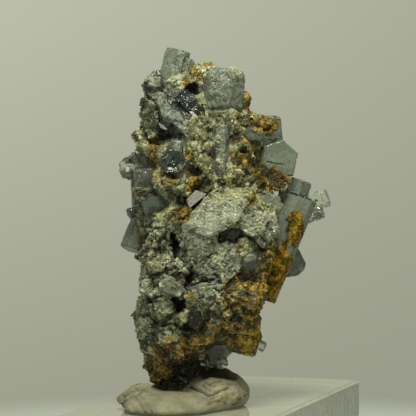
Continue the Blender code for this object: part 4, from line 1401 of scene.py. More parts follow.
    def dress(self, groups: MineralGroups) -> dict[BerylKind, bpy.types.Material]:
        """Put each crystal in the scene with its finishes, in place of the CAD node.

        Args:
            groups: The shader node groups.

        Returns:
            The looks of beryl.
        """
        finishes = beryl_finishes(groups)
        etched = EtchedFinish(groups).build()
        crust = CrustFinish(groups).build()
        for name, mesh in self.meshes.items():
            kind = HABITS.get(name, Habit()).kind
            mesh.materials.clear()
            for finish in (finishes[kind], etched, crust):
                mesh.materials.append(finish)
            ragged = 0.30 * soft_noise(coordinates(mesh), self.ragged_size, 90)
            frost = face_shares(mesh, stored(mesh, Zone.FROST.value) + ragged * 0.4)
            crusted = stored(mesh, Zone.RUST.value) * stored(mesh, Zone.CRUST.value)
            rusty = face_shares(mesh, crusted + ragged)
            choice = np.where(frost > self.etched_from, 1, 0)
            choice = np.where(rusty > self.etched_from, 2, choice)
            mesh.polygons.foreach_set("material_index", choice.astype(np.int32))
            piece = new_object(name.replace("_crystal", "_beryl"), mesh)
            clear = kind is BerylKind.COLOURLESS and name != "left_spur_crystal"
            settle(piece, "clear_beryl" if clear else "aquamarine", name)
        return finishes


def settle(piece: Object, slot: str, *nodes: str) -> None:
    """Let a finished piece ride on the specimen's body, in place of CAD nodes, and report it.

    Args:
        piece: The piece.
        slot: The name of a material slot for it, which is not used.
        *nodes: The CAD nodes that it stands for.
    """
    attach(piece, ROOT)
    if nodes:
        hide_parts(*nodes)
    LOG.info("%s: %d faces", piece.name, len(piece.data.polygons))


@dataclass(frozen=True)
class Bulge:
    """A stretch of the matrix's left or right outline that stands out from the plain solid.

    Its height is in millimetres, less than nothing where it lies further in. side is -1 for the left
    and 1 for the right.
    """

    patch: Patch
    height: float
    side: float


@dataclass
class MatrixSkin:
    """The matrix's surface: the CAD rock grown up to its crystals, weathered, cracked and painted."""

    voxel: float = 0.33 * MM
    reach: float = 0.62 * MM
    swell_size: float = 3.4 * MM
    swell_height: float = 0.35 * MM
    lump_size: float = 1.9 * MM
    lump_height: float = 0.66 * MM
    crumb_size: float = 0.85 * MM
    crumb_height: float = 0.28 * MM
    grit_size: float = 0.4 * MM
    grit_height: float = 0.06 * MM
    leaf_size: float = 0.62 * MM
    leaf_height: float = 0.36 * MM
    leaf_way: tuple[float, float, float] = (0.78, 0.0, -0.62)
    leaf_draw: float = 0.72
    leaf_slope: float = 1.6
    pit_depth: float = 1.3 * MM
    search: float = 3.0 * MM
    hollow_rounds: int = 12
    hollow_depth: float = 0.15 * MM
    bulges: tuple[Bulge, ...] = (
        Bulge(Patch(138, 340, 12, 34), 0.9, -1.0),
        Bulge(Patch(256, 316, 12, 24), 0.9, 1.0),
        Bulge(Patch(139, 112, 10, 18), -0.4, -1.0),
        Bulge(Patch(139, 143, 12, 11), 1.1, -1.0),
        Bulge(Patch(136, 288, 10, 26), -0.4, -1.0),
    )

    def build(self, crystals: Crystals) -> Mesh:
        """The finished skin.

        Args:
            crystals: The crystals that it grows up to.

        Returns:
            Its mesh, painted.
        """
        mesh = fused(mesh_of(whole_copy("matrix_rock"), "matrix_skin"), self.voxel)
        points = coordinates(mesh)
        points, free = self.grown_to(points, crystals)
        move_points(mesh, points)
        normals = point_normals(mesh)
        paint(mesh, 1)
        rough = 1.0 - 0.8 * np.clip(stored(mesh, Zone.CALM.value), 0.0, 1.0)
        rusty = np.clip(stored(mesh, Zone.RUST.value), 0.0, 1.0)
        leaves = self.leaves(points)
        height = self.swell_height * soft_noise(points, self.swell_size, 9) * rough
        lumps = cobbles(points, self.lump_size, 1) - LUMP_MEAN
        height += self.lump_height * lumps * rough * (1.0 - 0.5 * rusty)
        height += self.crumb_height * (cobbles(points, self.crumb_size, 2) - 0.5) * (0.3 + 0.7 * rough)
        height += self.grit_height * soft_noise(points, self.grit_size, 5) * (1.0 + 1.5 * rusty)
        creamy = np.clip(stored(mesh, Zone.CREAM.value), 0.0, 0.8)
        height += self.leaf_height * (leaves - 0.5) * (1.0 - creamy)
        height -= self.pit_depth * smooth(stored(mesh, Zone.DARK.value), 0.5, 1.0) * on_front(points)
        seen = seen_at(points)
        for bulge in self.bulges:
            facing = smooth(normals[:, 0] * bulge.side, 0.1, 0.7)
            height += bulge.height * MM * facing * bulge.patch.cover(seen)
        tones = 0.6 * lump_tones(points, self.lump_size, 1) + 0.4 * lump_tones(points, self.crumb_size, 2)
        store(mesh, "lump", np.clip(1.5 * tones - 0.25 + 0.35 * (leaves - 0.5), 0.0, 1.0))
        points = points + normals * (height * free)[:, None]
        points = self.cracked(mesh, points, normals)
        move_points(mesh, points)
        store(mesh, "hollow", self.hollows(mesh))
        store(mesh, "free", free)
        return mesh

    def leaves(self, points: np.ndarray) -> np.ndarray:
        """How high each point lies on the mineral's thin leaves, which run down to the right.

        Args:
            points: The skin's points.

        Returns:
            For each, from 0 between two leaves to 1 on the edge of one.
        """
        along = np.array(self.leaf_way)
        drawn = points - np.outer(points @ along * self.leaf_draw, along)
        return np.clip(1.0 - self.leaf_slope * np.abs(soft_noise(drawn, self.leaf_size, 12)), 0.0, 1.0)

    def grown_to(self, points: np.ndarray, crystals: Crystals) -> tuple[np.ndarray, np.ndarray]:
        """Move the skin onto crystals that it nearly touches.

        Args:
            points: The skin's points.
            crystals: The crystals.

        Returns:
            The points, and for each how free it is to move, from 0 at a crystal to 1.
        """
        surface = surface_of(crystals.meshes.values())
        far = np.full(len(points), np.inf)
        moved = points.copy()
        for index, point in enumerate(points):
            place, _, _, gap = surface.find_nearest(Vector(point), self.search)
            if place is None:
                continue
            far[index] = gap
            if gap < self.reach:
                moved[index] = place
        return moved, smooth(far, self.reach, 3.0 * self.reach)

    def cracked(self, mesh: Mesh, points: np.ndarray, normals: np.ndarray) -> np.ndarray:
        """Sink the cracks and paint shade into them.

        Args:
            mesh: The skin, whose dark zone takes the cracks.
            points: Its points.
            normals: Its normals.

        Returns:
            The points with the cracks sunk.
        """
        seen = seen_at(points)
        facing = on_front(points) * smooth(-normals[:, 1], 0.0, 0.3)
        dark = stored(mesh, Zone.DARK.value)
        for crack in CRACKS:
            inside = crack.cover(seen) * facing
            points = points - normals * (inside * crack.depth * MM)[:, None]
            # Painted shade in the crack
            dark = np.maximum(dark, inside * 0.9)
        store(mesh, Zone.DARK.value, dark)
        return points

    def hollows(self, mesh: Mesh) -> np.ndarray:
        """How far each point lies below its surroundings, from 0 to 1."""
        points = coordinates(mesh)
        even = evened(mesh, points, self.hollow_rounds)
        depth = np.sum((even - points) * point_normals(mesh), axis=1)
        return smooth(depth, 0.0, self.hollow_depth)


def surface_of(meshes: Iterable[Mesh]) -> BVHTree:
    """A tree that finds the nearest place on any of several meshes, or where a ray meets them.

    Args:
        meshes: The meshes.

    Returns:
        The tree.
    """
    vertices = []
    polygons = []
    for mesh in meshes:
        start = len(vertices)
        vertices.extend(vert.co.copy() for vert in mesh.vertices)
        polygons.extend([start + index for index in face.vertices] for face in mesh.polygons)
    return BVHTree.FromPolygons(vertices, polygons)


SILVER_PLATE = Block(
    ((212.5, 189.5), (224, 190), (238, 187), (250, 187.5), (257, 192), (250, 201), (244, 209), (240, 219),
     (228, 228), (221, 233), (212, 236), (203, 236), (195, 233), (187, 230), (181.5, 222)),
    -24.5, (-0.116, 0.20), 2.2, 0.10, 0.36,
)

LILAC_FACE = Block(((186, 200), (196, 190), (207, 194), (190, 208)), -24.1, (0.10, 0.10), 3.4, 0.03, 1.0)

# Each block's outline, depth, lean, thickness, rough and bare
BLOCKS: tuple[Block, ...] = (
    SILVER_PLATE,
    Block(((160, 284), (164, 280), (171, 278.5), (183, 285), (184, 292), (180, 297), (168, 294),
           (161, 289)), -25.6, (0.15, 0.2), 2.0, 0.12, 0.75),
    Block(((152, 300), (165, 296.5), (175, 303), (176, 311), (168, 315), (156, 313)),
          -24.7, (0.1, -0.1), 1.6, 0.10, 0.7),
    Block(((183, 296), (192, 295), (203, 303), (201, 309), (190, 306)),
          -25.6, (0.1, -0.3), 1.6, 0.10, 0.7),
    Block(((178, 314), (184, 309.5), (191, 311), (192, 317), (187, 322), (180, 321)),
          -26.0, (0.1, 0.1), 1.8, 0.22, 0.7),
    Block(((262, 171), (276, 172), (291, 177.5), (291, 183), (284, 192), (275, 190), (267, 184)),
          -17.6, (0.2, 0.0), 2.6, 0.3, 0.0),
    Block(((238, 116), (246, 114.5), (250, 120), (247, 125), (239, 124)),
          -19.0, (0.1, 0.1), 1.6, 0.12, 0.95),
    Block(((181, 221), (196, 226), (212, 230), (219, 235), (217, 250), (204, 257), (190, 253),
           (183, 240)), -24.3, (-0.03, -0.27), 2.4, 0.12, 0.4),
    Block(((240, 207), (251, 197), (264, 204), (269, 218), (262, 234), (250, 236), (238, 226)),
          -24.1, (0.24, 0.1), 2.6, 0.3, 0.1),
    Block(((137, 213), (147, 215), (153, 232), (157, 254), (149, 257), (146, 244), (141, 230)),
          -17.6, (0.3, 0.0), 2.4, 0.3, 0.2),
    Block(((178, 352), (205, 349), (214, 360), (207, 371), (194, 377), (180, 374)),
          -15.0, (0.2, -0.1), 4.5, 0.5, 0.2),
    Block(((188, 158), (192, 149), (198, 150), (201, 157), (197, 163), (190, 164)),
          -22.0, (0.1, 0.3), 1.6, 0.16, 0.8),
    Block(((201, 163), (205, 156), (211, 158), (212, 166), (206, 170)),
          -22.0, (-0.1, 0.2), 1.6, 0.16, 0.8),
    Block(((186, 140), (193, 138), (197, 146), (192, 150), (186, 147)),
          -21.5, (0.1, 0.2), 1.4, 0.14, 0.8),
    Block(((148, 262), (158, 257), (166, 262), (164, 271), (154, 273)),
          -23.6, (0.2, 0.2), 1.6, 0.2, 0.5),
    Block(((141, 281), (150, 279), (155, 287), (150, 296), (142, 293)),
          -22.6, (0.5, 0.1), 1.6, 0.2, 0.4),
    Block(((262, 224), (272, 220), (280, 226), (278, 238), (266, 240)),
          -20.4, (0.5, 0.0), 1.6, 0.10, 0.5),
    Block(((188, 323), (192, 312), (200, 310), (205, 319), (197, 329), (190, 328)),
          -26.0, (0.1, -0.4), 2.4, 0.14, 1.0),
    Block(((144, 104), (151, 103), (156, 112), (158, 119), (155, 126), (158, 134), (151, 139),
           (145, 132), (143, 118)), -19.8, (-0.3, -0.1), 3.0, 0.4, 0.1),
    Block(((238, 239), (246, 237.5), (251, 244), (249, 252), (241, 254), (236, 246)),
          -24.0, (0.15, 0.1), 1.8, 0.3, 0.1),
    Block(((132, 190), (141, 187), (151, 188), (157, 192), (151, 199), (137, 201)),
          -20.6, (0.2, 0.1), 1.8, 0.35, 0.2),
    Block(((135, 206), (143, 203), (150, 210), (147, 220), (139, 221), (136, 214)),
          -18.0, (0.2, 0.0), 3.0, 0.3, 0.2),
)


def built_blocks() -> Mesh:
    """All blocks in one painted mesh."""
    solid = bmesh.new()
    for seed, block in enumerate(BLOCKS):
        solid.from_mesh(block.build(seed + 3))
    mesh = mesh_of(solid, "matrix_blocks")
    paint(mesh, 1)
    return mesh


def lilac_face(finish: bpy.types.Material) -> None:
    """The lilac crystal, of which the matrix leaves one small flat face free.

    Args:
        finish: Its material.
    """
    mesh = LILAC_FACE.build(41)
    mesh.name = "lilac_beryl"
    paint(mesh, 2)
    mesh.materials.append(finish)
    settle(new_object("lilac_beryl", mesh), "aquamarine", "lilac_crystal")


@dataclass(frozen=True)
class Mark:
    """A small thin thing on the front: a needle's path, or a glint's outline, in pixels.

    A needle's width is in millimetres.
    """

    outline: tuple[tuple[float, float], ...]
    width: float = 0.0


# Needles of a dark mineral, and thin dark rods of painted shade along shaded gaps
NEEDLES_AND_SHADE_LINES: tuple[Mark, ...] = (
    Mark(((267, 161), (275, 163), (284, 164)), 0.16),
    Mark(((262, 148.5), (267, 145), (273, 141.5), (277, 138.5)), 0.40),
    Mark(((268, 139.5), (273, 139.5)), 0.20),
    Mark(((290, 192.5), (294, 193.5), (298, 195)), 0.36),
    Mark(((299, 194.5), (304, 197)), 0.34),
    Mark(((306, 197.5), (311, 200)), 0.28),
    Mark(((286, 219), (291, 222)), 0.34),
    Mark(((315, 200), (317.5, 201)), 0.34),
    Mark(((270, 276), (277, 274.5), (284, 274.5)), 0.30),
    Mark(((129, 161), (132, 157.5), (136, 153)), 0.22),
    Mark(((133.5, 170), (134.5, 186), (135, 204)), 0.14),
    Mark(((163, 132), (168, 128.5), (172, 125.5)), 0.75),
    # Painted shadow in the gap along the silver plate's upper-left edge
    Mark(((182, 222), (197, 205), (211.5, 190)), 0.28),
    Mark(((226, 168), (226, 176)), 0.2),
    Mark(((202, 104), (205, 116)), 0.3),
)

# Painted glints: small bright plates that stand for highlights and for light seen through gaps
PAINTED_GLINTS: tuple[Mark, ...] = (
    Mark(((156.5, 119.5), (159.5, 123), (161.5, 120.5), (162.5, 124.5), (168.5, 130), (164.5, 129.5),
          (160.5, 127.5))),
    Mark(((167.5, 168), (170, 167), (173.5, 168.5), (171, 170), (168.5, 169.8))),
    Mark(((189, 111.5), (193, 111.5), (197, 116), (199, 121), (196, 119.5), (192.5, 115))),
    Mark(((125.5, 167.5), (128.5, 166.5), (129.5, 171), (126.5, 172))),
    Mark(((245, 182), (248, 181.5), (249.5, 184), (247.5, 186.5), (245, 185))),
    Mark(((197, 361), (200.5, 362), (204, 362.5), (206.5, 366), (202, 365.5), (198, 364))),
    Mark(((158.5, 284), (160.5, 282), (162.5, 286), (160, 287))),
    Mark(((222, 364), (225, 366), (228, 365), (226, 368), (222, 367))),
    Mark(((157, 69), (158.5, 71.5), (161, 74), (158, 74.5))),
    Mark(((177.5, 100), (179.5, 99.5), (179, 102))),
)

# Painted highlights along the rims of clear faces
RIM_HIGHLIGHTS: tuple[Mark, ...] = (
    Mark(((186, 160.5), (183.5, 166), (180.8, 171)), 0.09),
    Mark(((163, 158.5), (168, 156)), 0.08),
    Mark(((126, 160), (129, 155.5), (134, 152.5)), 0.12),
    Mark(((318, 194.5), (320, 193), (324.5, 203), (322.5, 206)), 0.20),
    Mark(((124, 249.5), (134, 252.5), (145, 254)), 0.20),
)


@dataclass
class Marks:
    """Needles of another, dark mineral and lines of painted shade, and painted glints: small bright
    plates.

    overlap is how much longer a needle's rods are than their steps, and taper its far end's radius
    as a share of its width. No rod is longer than longest, where a path jumps to another crystal.
    """

    surface: BVHTree
    lift: float = 0.06 * MM
    glint_lift: float = 0.09 * MM
    thickness: float = 0.10 * MM
    longest: float = 6.0 * MM
    overlap: float = 1.04
    taper: float = 0.4

    def placed(self, px: float, py: float, lift: float) -> Vector | None:
        """Where a pixel's ray meets the specimen, lifted towards the camera."""
        way = pixel_way(px, py).normalized()
        place, _, _, _ = self.surface.ray_cast(CAMERA_PLACE, way)
        return None if place is None else place - way * lift

    def needle(self, solid: BMesh, mark: Mark) -> None:
        """Add one needle: thin six-sided rods that follow the surface from point to point.

        Args:
            solid: The mesh that it joins.
            mark: The needle.
        """
        places = [self.placed(px, py, self.lift) for px, py in mark.outline]
        places = [place for place in places if place is not None]
        width = mark.width * MM
        for start, end in zip(places, places[1:]):
            length = (end - start).length
            if length > self.longest:
                continue
            bmesh.ops.create_cone(
                solid, cap_ends=True, segments=6, radius1=width / 2, radius2=width * self.taper,
                depth=length * self.overlap, matrix=between(start, end),
            )

    def glint(self, solid: BMesh, mark: Mark) -> None:
        """Add one glint: a thin plate with the outline, at the depth of the outline's middle.

        Args:
            solid: The mesh that it joins.
            mark: The glint.
        """
        middle = [sum(value) / len(mark.outline) for value in zip(*mark.outline)]
        place = self.placed(*middle, self.glint_lift)
        if place is None:
            return
        front = [pixel_place(px, py, place.y) for px, py in mark.outline]
        add_plate(solid, front, [corner + Vector((0.0, self.thickness, 0.0)) for corner in front])

    def build(self) -> None:
        """Make both pieces, with the painted rim highlights among the painted glints, and settle them."""
        needles = bmesh.new()
        for mark in NEEDLES_AND_SHADE_LINES:
            self.needle(needles, mark)
        glints = bmesh.new()
        for mark in PAINTED_GLINTS:
            self.glint(glints, mark)
        # Painted highlights along the rims
        for mark in RIM_HIGHLIGHTS:
            self.needle(glints, mark)
        # Black for the needles and for the lines of painted shade
        dark = Material("needle_black")
        speck = dark.tree.ranged(dark.tree.swell(0.3 * MM, 3.0, 0.6), 0.3, 0.7)
        colour = dark.tree.mixed(speck, (0.008, 0.008, 0.007), (0.035, 0.034, 0.026))
        dark.set(Base_Color=colour, Roughness=0.3)
        # Painted glints and rim highlights: a bright material
        light = Material("cleavage_bright")
        cloud = light.tree.ranged(light.tree.swell(0.6 * MM, 3.0, 0.6), 0.35, 0.65)
        colour = light.tree.mixed(cloud, (0.40, 0.43, 0.38), (0.80, 0.83, 0.78))
        light.set(Base_Color=colour, Roughness=0.22)
        for solid, name, finish in ((needles, "dark_needles", dark), (glints, "cleavage_glints", light)):
            bmesh.ops.recalc_face_normals(solid, faces=solid.faces)
            mesh = mesh_of(solid, name)
            mesh.materials.append(finish.result)
            settle(new_object(name, mesh), "matrix")


class GrainShape(Enum):
    """The forms of loose-looking grains."""

    CRUMB = "crumb"
    FINE = "fine"
    FLAKE = "flake"


@dataclass(frozen=True)
class Sowing:
    """One population of grains: where it lies, how many to a square millimetre, and its grains.

    The sizes are in millimetres.
    """

    name: str
    where: str
    density: float
    smallest: float
    largest: float
    shape: GrainShape
    look: GrainLook
    seed: int
    slot: str = "matrix"


class GrainShapes:
    """The unit grains, a few of each form, kept in collections that no render shows."""

    variants: int = 8
    hull_points: dict[GrainShape, int] = {GrainShape.CRUMB: 9, GrainShape.FINE: 6}

    def __init__(self) -> None:
        """Build each form once."""
        self.sets = {shape: self.build_set(shape) for shape in GrainShape}

    def build_set(self, shape: GrainShape) -> bpy.types.Collection:
        """The collection of one form's grains."""
        kept = bpy.data.collections.new(f"{shape.value}_shapes")
        for index in range(self.variants):
            flat = shape is GrainShape.FLAKE
            solid = self.flake(index) if flat else self.crumb(index, self.hull_points[shape])
            mesh = mesh_of(solid, f"{shape.value}_{index}")
            kept.objects.link(bpy.data.objects.new(mesh.name, mesh))
        return kept

    def crumb(self, index: int, count: int) -> BMesh:
        """An angular crumb: the hull of a few points about a unit ball."""
        draw = random.Random(100 + index)
        solid = bmesh.new()
        for _ in range(count):
            way = Vector([draw.gauss(0.0, 1.0) for _ in range(3)]).normalized()
            solid.verts.new(way * draw.uniform(0.38, 0.55))
        hull = bmesh.ops.convex_hull(solid, input=solid.verts)
        bmesh.ops.delete(solid, geom=hull["geom_interior"], context="VERTS")
        return solid

    def flake(self, index: int) -> BMesh:
        """A mica flake: a thin ragged plate, the hull of three points above and three below."""
        draw = random.Random(200 + index)
        solid = bmesh.new()
        for corner in range(6):
            angle = math.radians(60 * corner + draw.uniform(-16, 16))
            radius = draw.uniform(0.40, 0.56)
            rise = 0.07 if corner % 2 else -0.07
            solid.verts.new((radius * math.cos(angle), radius * math.sin(angle), rise))
        bmesh.ops.convex_hull(solid, input=solid.verts)
        return solid


class SowingTree:
    """The Geometry Nodes tree that sows grains over a surface and makes them one mesh."""

    inputs: dict[str, str] = {
        "Geometry": "NodeSocketGeometry",
        "Grains": "NodeSocketCollection",
        "Where": "NodeSocketString",
        "Per Square Metre": "NodeSocketFloat",
        "Smallest": "NodeSocketFloat",
        "Largest": "NodeSocketFloat",
        "Tilt": "NodeSocketFloat",
        "Seed": "NodeSocketInt",
        "Finish": "NodeSocketMaterial",
    }

    def __init__(self) -> None:
        """Build the tree once, and keep its inputs' identifiers for the modifiers that use it."""
        self.tree = bpy.data.node_groups.new("sow_grains", "GeometryNodeTree")
        self.sockets: dict[str, str] = {}
        for name, kind in self.inputs.items():
            made = self.tree.interface.new_socket(name, in_out="INPUT", socket_type=kind)
            self.sockets[name] = made.identifier
        self.tree.interface.new_socket("Geometry", in_out="OUTPUT", socket_type="NodeSocketGeometry")
        self.build()

    def random_value(
        self, tree: Tree, kind: str, low: object, high: object, seed: object
    ) -> NodeSocket:
        """A random value between two limits."""
        node = tree.add("FunctionNodeRandomValue", data_type=kind, inputs={"Seed": seed})
        limits = [socket for socket in node.inputs if socket.enabled]
        for socket, value in zip(limits, (low, high)):
            tree.put(socket, value)
        return next(socket for socket in node.outputs if socket.enabled)

    def build(self) -> None:
        """Sow points, set a grain on each, keep its tone and join all to one mesh."""
        tree = Tree(self.tree)
        start = tree.add("NodeGroupInput").outputs
        end = tree.add("NodeGroupOutput")
        inputs = {"Name": start["Where"]}
        where = tree.add("GeometryNodeInputNamedAttribute", data_type="FLOAT", inputs=inputs)
        density = tree.math("MULTIPLY", where.outputs["Attribute"], start["Per Square Metre"])
        inputs = {"Mesh": start["Geometry"], "Density": density, "Seed": start["Seed"]}
        sown = tree.add("GeometryNodeDistributePointsOnFaces", distribute_method="RANDOM", inputs=inputs)
        inputs = {"Collection": start["Grains"], "Separate Children": True, "Reset Children": True}
        shapes = tree.add("GeometryNodeCollectionInfo", inputs=inputs)
        seeds = [tree.math("ADD", start["Seed"], float(step)) for step in range(6)]
        low = tree.math("MULTIPLY", start["Tilt"], -1.0)
        tilt_x = self.random_value(tree, "FLOAT", low, start["Tilt"], seeds[0])
        tilt_y = self.random_value(tree, "FLOAT", low, start["Tilt"], seeds[1])
        spin = self.random_value(tree, "FLOAT", -math.pi, math.pi, seeds[2])
        tilt = tree.add("ShaderNodeCombineXYZ", inputs={0: tilt_x, 1: tilt_y, 2: spin}).outputs[0]
        inputs = {"Rotation": sown.outputs["Rotation"], "Rotate By": tilt}
        turned = tree.add("FunctionNodeRotateRotation", rotation_space="LOCAL", inputs=inputs)
        share = tree.math("POWER", self.random_value(tree, "FLOAT", 0.0, 1.0, seeds[3]), 2.0)
        span = tree.math("SUBTRACT", start["Largest"], start["Smallest"])
        size = tree.math("ADD", tree.math("MULTIPLY", share, span), start["Smallest"])
        uneven = self.random_value(tree, "FLOAT_VECTOR", (0.75, 0.75, 0.7), (1.2, 1.2, 1.1), seeds[4])
        scale = tree.add("ShaderNodeVectorMath", operation="SCALE", inputs={0: uneven, "Scale": size})
        inputs = {
            "Points": sown.outputs["Points"],
            "Instance": shapes.outputs[0],
            "Pick Instance": True,
            "Rotation": turned.outputs[0],
            "Scale": scale.outputs[0],
        }
        placed = tree.add("GeometryNodeInstanceOnPoints", inputs=inputs)
        tone = self.random_value(tree, "FLOAT", 0.0, 1.0, seeds[5])
        inputs = {"Geometry": placed.outputs[0], "Name": "tone", "Value": tone}
        kept = tree.add(
            "GeometryNodeStoreNamedAttribute", data_type="FLOAT", domain="INSTANCE", inputs=inputs
        )
        real = tree.add("GeometryNodeRealizeInstances", inputs={0: kept.outputs[0]})
        inputs = {"Geometry": real.outputs[0], "Material": start["Finish"]}
        tree.put(end.inputs[0], tree.add("GeometryNodeSetMaterial", inputs=inputs).outputs[0])


@dataclass
class Grains:
    """The crumbs, flakes and specks on the matrix and on the crusted faces of crystals."""

    ground: Mesh
    groups: MineralGroups
    chipped: Patch = Patch(182, 101, 26, 11, 38)
    flake_tilt: float = 0.4
    # Each name, where, density, smallest, largest, shape, look and seed, and the slot of some
    sowings: tuple[Sowing, ...] = (
        Sowing("cream_crumbs", "sow_cream", 3.4, 0.36, 1.60, GrainShape.CRUMB, GrainLook.CRUMB, 11),
        Sowing("cream_grit", "sow_cream", 13.0, 0.14, 0.42, GrainShape.FINE, GrainLook.CRUMB, 21),
        Sowing("grey_crumbs", "sow_grey", 2.2, 0.34, 1.20, GrainShape.CRUMB, GrainLook.CRUMB, 31),
        Sowing("grey_grit", "sow_fine", 9.0, 0.14, 0.38, GrainShape.FINE, GrainLook.CRUMB, 41),
        Sowing("rust_crumbs", "sow_rust", 4.6, 0.24, 0.62, GrainShape.CRUMB, GrainLook.RUST, 51),
        Sowing("rust_crust", "sow_crust", 16.0, 0.12, 0.32, GrainShape.FINE, GrainLook.RUST, 61),
        Sowing("silver_flakes", "sow_silver", 9.0, 0.20, 0.60, GrainShape.FLAKE, GrainLook.MICA, 71),
        Sowing("sugar_grains", "sow_sugar", 6.0, 0.10, 0.32, GrainShape.FINE, GrainLook.SUGAR, 81,
               "aquamarine"),
        Sowing("glassy_chips", "sow_chips", 22.0, 0.10, 0.36, GrainShape.FLAKE, GrainLook.CHIP, 91,
               "aquamarine"),
        Sowing("mica_specks", "sow_specks", 2.4, 0.20, 0.55, GrainShape.FLAKE, GrainLook.SPECK, 101),
    )

    def mark_ground(self, rock_count: int) -> None:
        """Store how thickly each population lies at each point of the ground.

        Args:
            rock_count: How many of its points, from the first on, belong to the matrix.
        """
        mesh = self.ground
        points = coordinates(mesh)
        zone = {kind: stored(mesh, kind.value) for kind in Zone}
        rock = np.arange(len(points)) < rock_count
        beryl = 1.0 - rock
        crusted = np.where(rock, 1.0, zone[Zone.CRUST])
        bare = 1.0 - 0.94 * zone[Zone.DARK]
        shown = on_front(points)
        raised = 1.0 - 0.8 * stored(mesh, "hollow")
        open_share = stored(mesh, "open") * bare * raised * (0.5 + 0.5 * shown)
        patchy = smooth(soft_noise(points, 1.6 * MM, 33), -0.35, 0.25)
        rust = np.clip(zone[Zone.RUST] * 1.2, 0.0, 1.0)
        silver = zone[Zone.SILVER] * (1.0 - rust)
        cream = zone[Zone.CREAM] * (1.0 - 0.6 * rust) * (1.0 - 0.85 * silver)
        grey = np.clip(1.0 - rust - cream - silver, 0.0, 1.0)
        calm = zone[Zone.CALM]
        chips = smooth(self.chipped.cover(seen_at(points)), 0.2, 0.9)
        chips = chips * shown * smooth(soft_noise(points, 0.9 * MM, 35), -0.3, 0.3)
        shares = {
            "cream": cream * crusted * (0.25 + 0.75 * patchy),
            "grey": grey * crusted * (1.0 - 0.85 * calm) * (0.2 + 0.8 * patchy),
            "fine": np.clip(grey + silver * 0.5, 0.0, 1.0) * crusted * (0.35 + 0.65 * calm),
            "rust": rust * crusted * (0.3 + 0.7 * patchy) * (0.08 + 0.92 * rock),
            "crust": rust * np.where(rock, 0.35, zone[Zone.CRUST]),
            "silver": silver * rock,
            "sugar": zone[Zone.FROST] * beryl,
            "chips": chips * beryl,
            "specks": rock * (0.5 + 0.7 * grey) * smooth(soft_noise(points, 2.5 * MM, 37), -0.3, 0.4),
        }
        for name, share in shares.items():
            store(mesh, f"sow_{name}", share * open_share)

    def build(self, rock_count: int) -> None:
        """Sow each population, make it a plain mesh and settle it on the specimen."""
        self.mark_ground(rock_count)
        shapes = GrainShapes()
        sow = SowingTree()
        for sowing in self.sowings:
            holder = new_object("sowing", self.ground.copy())
            modifier = holder.modifiers.new("Sow", "NODES")
            modifier.node_group = sow.tree
            values = {
                "Grains": shapes.sets[sowing.shape],
                "Where": sowing.where,
                "Per Square Metre": sowing.density / MM**2,
                "Smallest": sowing.smallest * MM,
                "Largest": sowing.largest * MM,
                "Tilt": self.flake_tilt if sowing.shape is GrainShape.FLAKE else math.pi,
                "Seed": sowing.seed,
                "Finish": GrainFinish(self.groups, sowing.name, sowing.look).build(),
            }
            for name, value in values.items():
                modifier[sow.sockets[name]] = value
            mesh = baked(holder, sowing.name)
            settle(new_object(sowing.name, mesh), sowing.slot)


@dataclass(frozen=True)
class Roll:
    """A roll of putty that was pressed against the lump: pixels with the row frame's Y, and its radius.

    Depth and radius are in millimetres.
    """

    path: tuple[tuple[float, float, float], ...]
    radius: float

    def build(self) -> Mesh:
        """The roll: a ball at each place and a rod between every two.

        Returns:
            Its mesh.
        """
        radius = self.radius * MM
        places = [pixel_place(px, py, depth * MM) for px, py, depth in self.path]
        solid = bmesh.new()
        for place in places:
            turn = Matrix.Translation(place)
            bmesh.ops.create_icosphere(solid, subdivisions=2, radius=radius, matrix=turn)
        for start, end in zip(places, places[1:]):
            bmesh.ops.create_cone(
                solid, cap_ends=True, segments=16, radius1=radius, radius2=radius,
                depth=(end - start).length, matrix=between(start, end),
            )
        return mesh_of(solid, "roll")


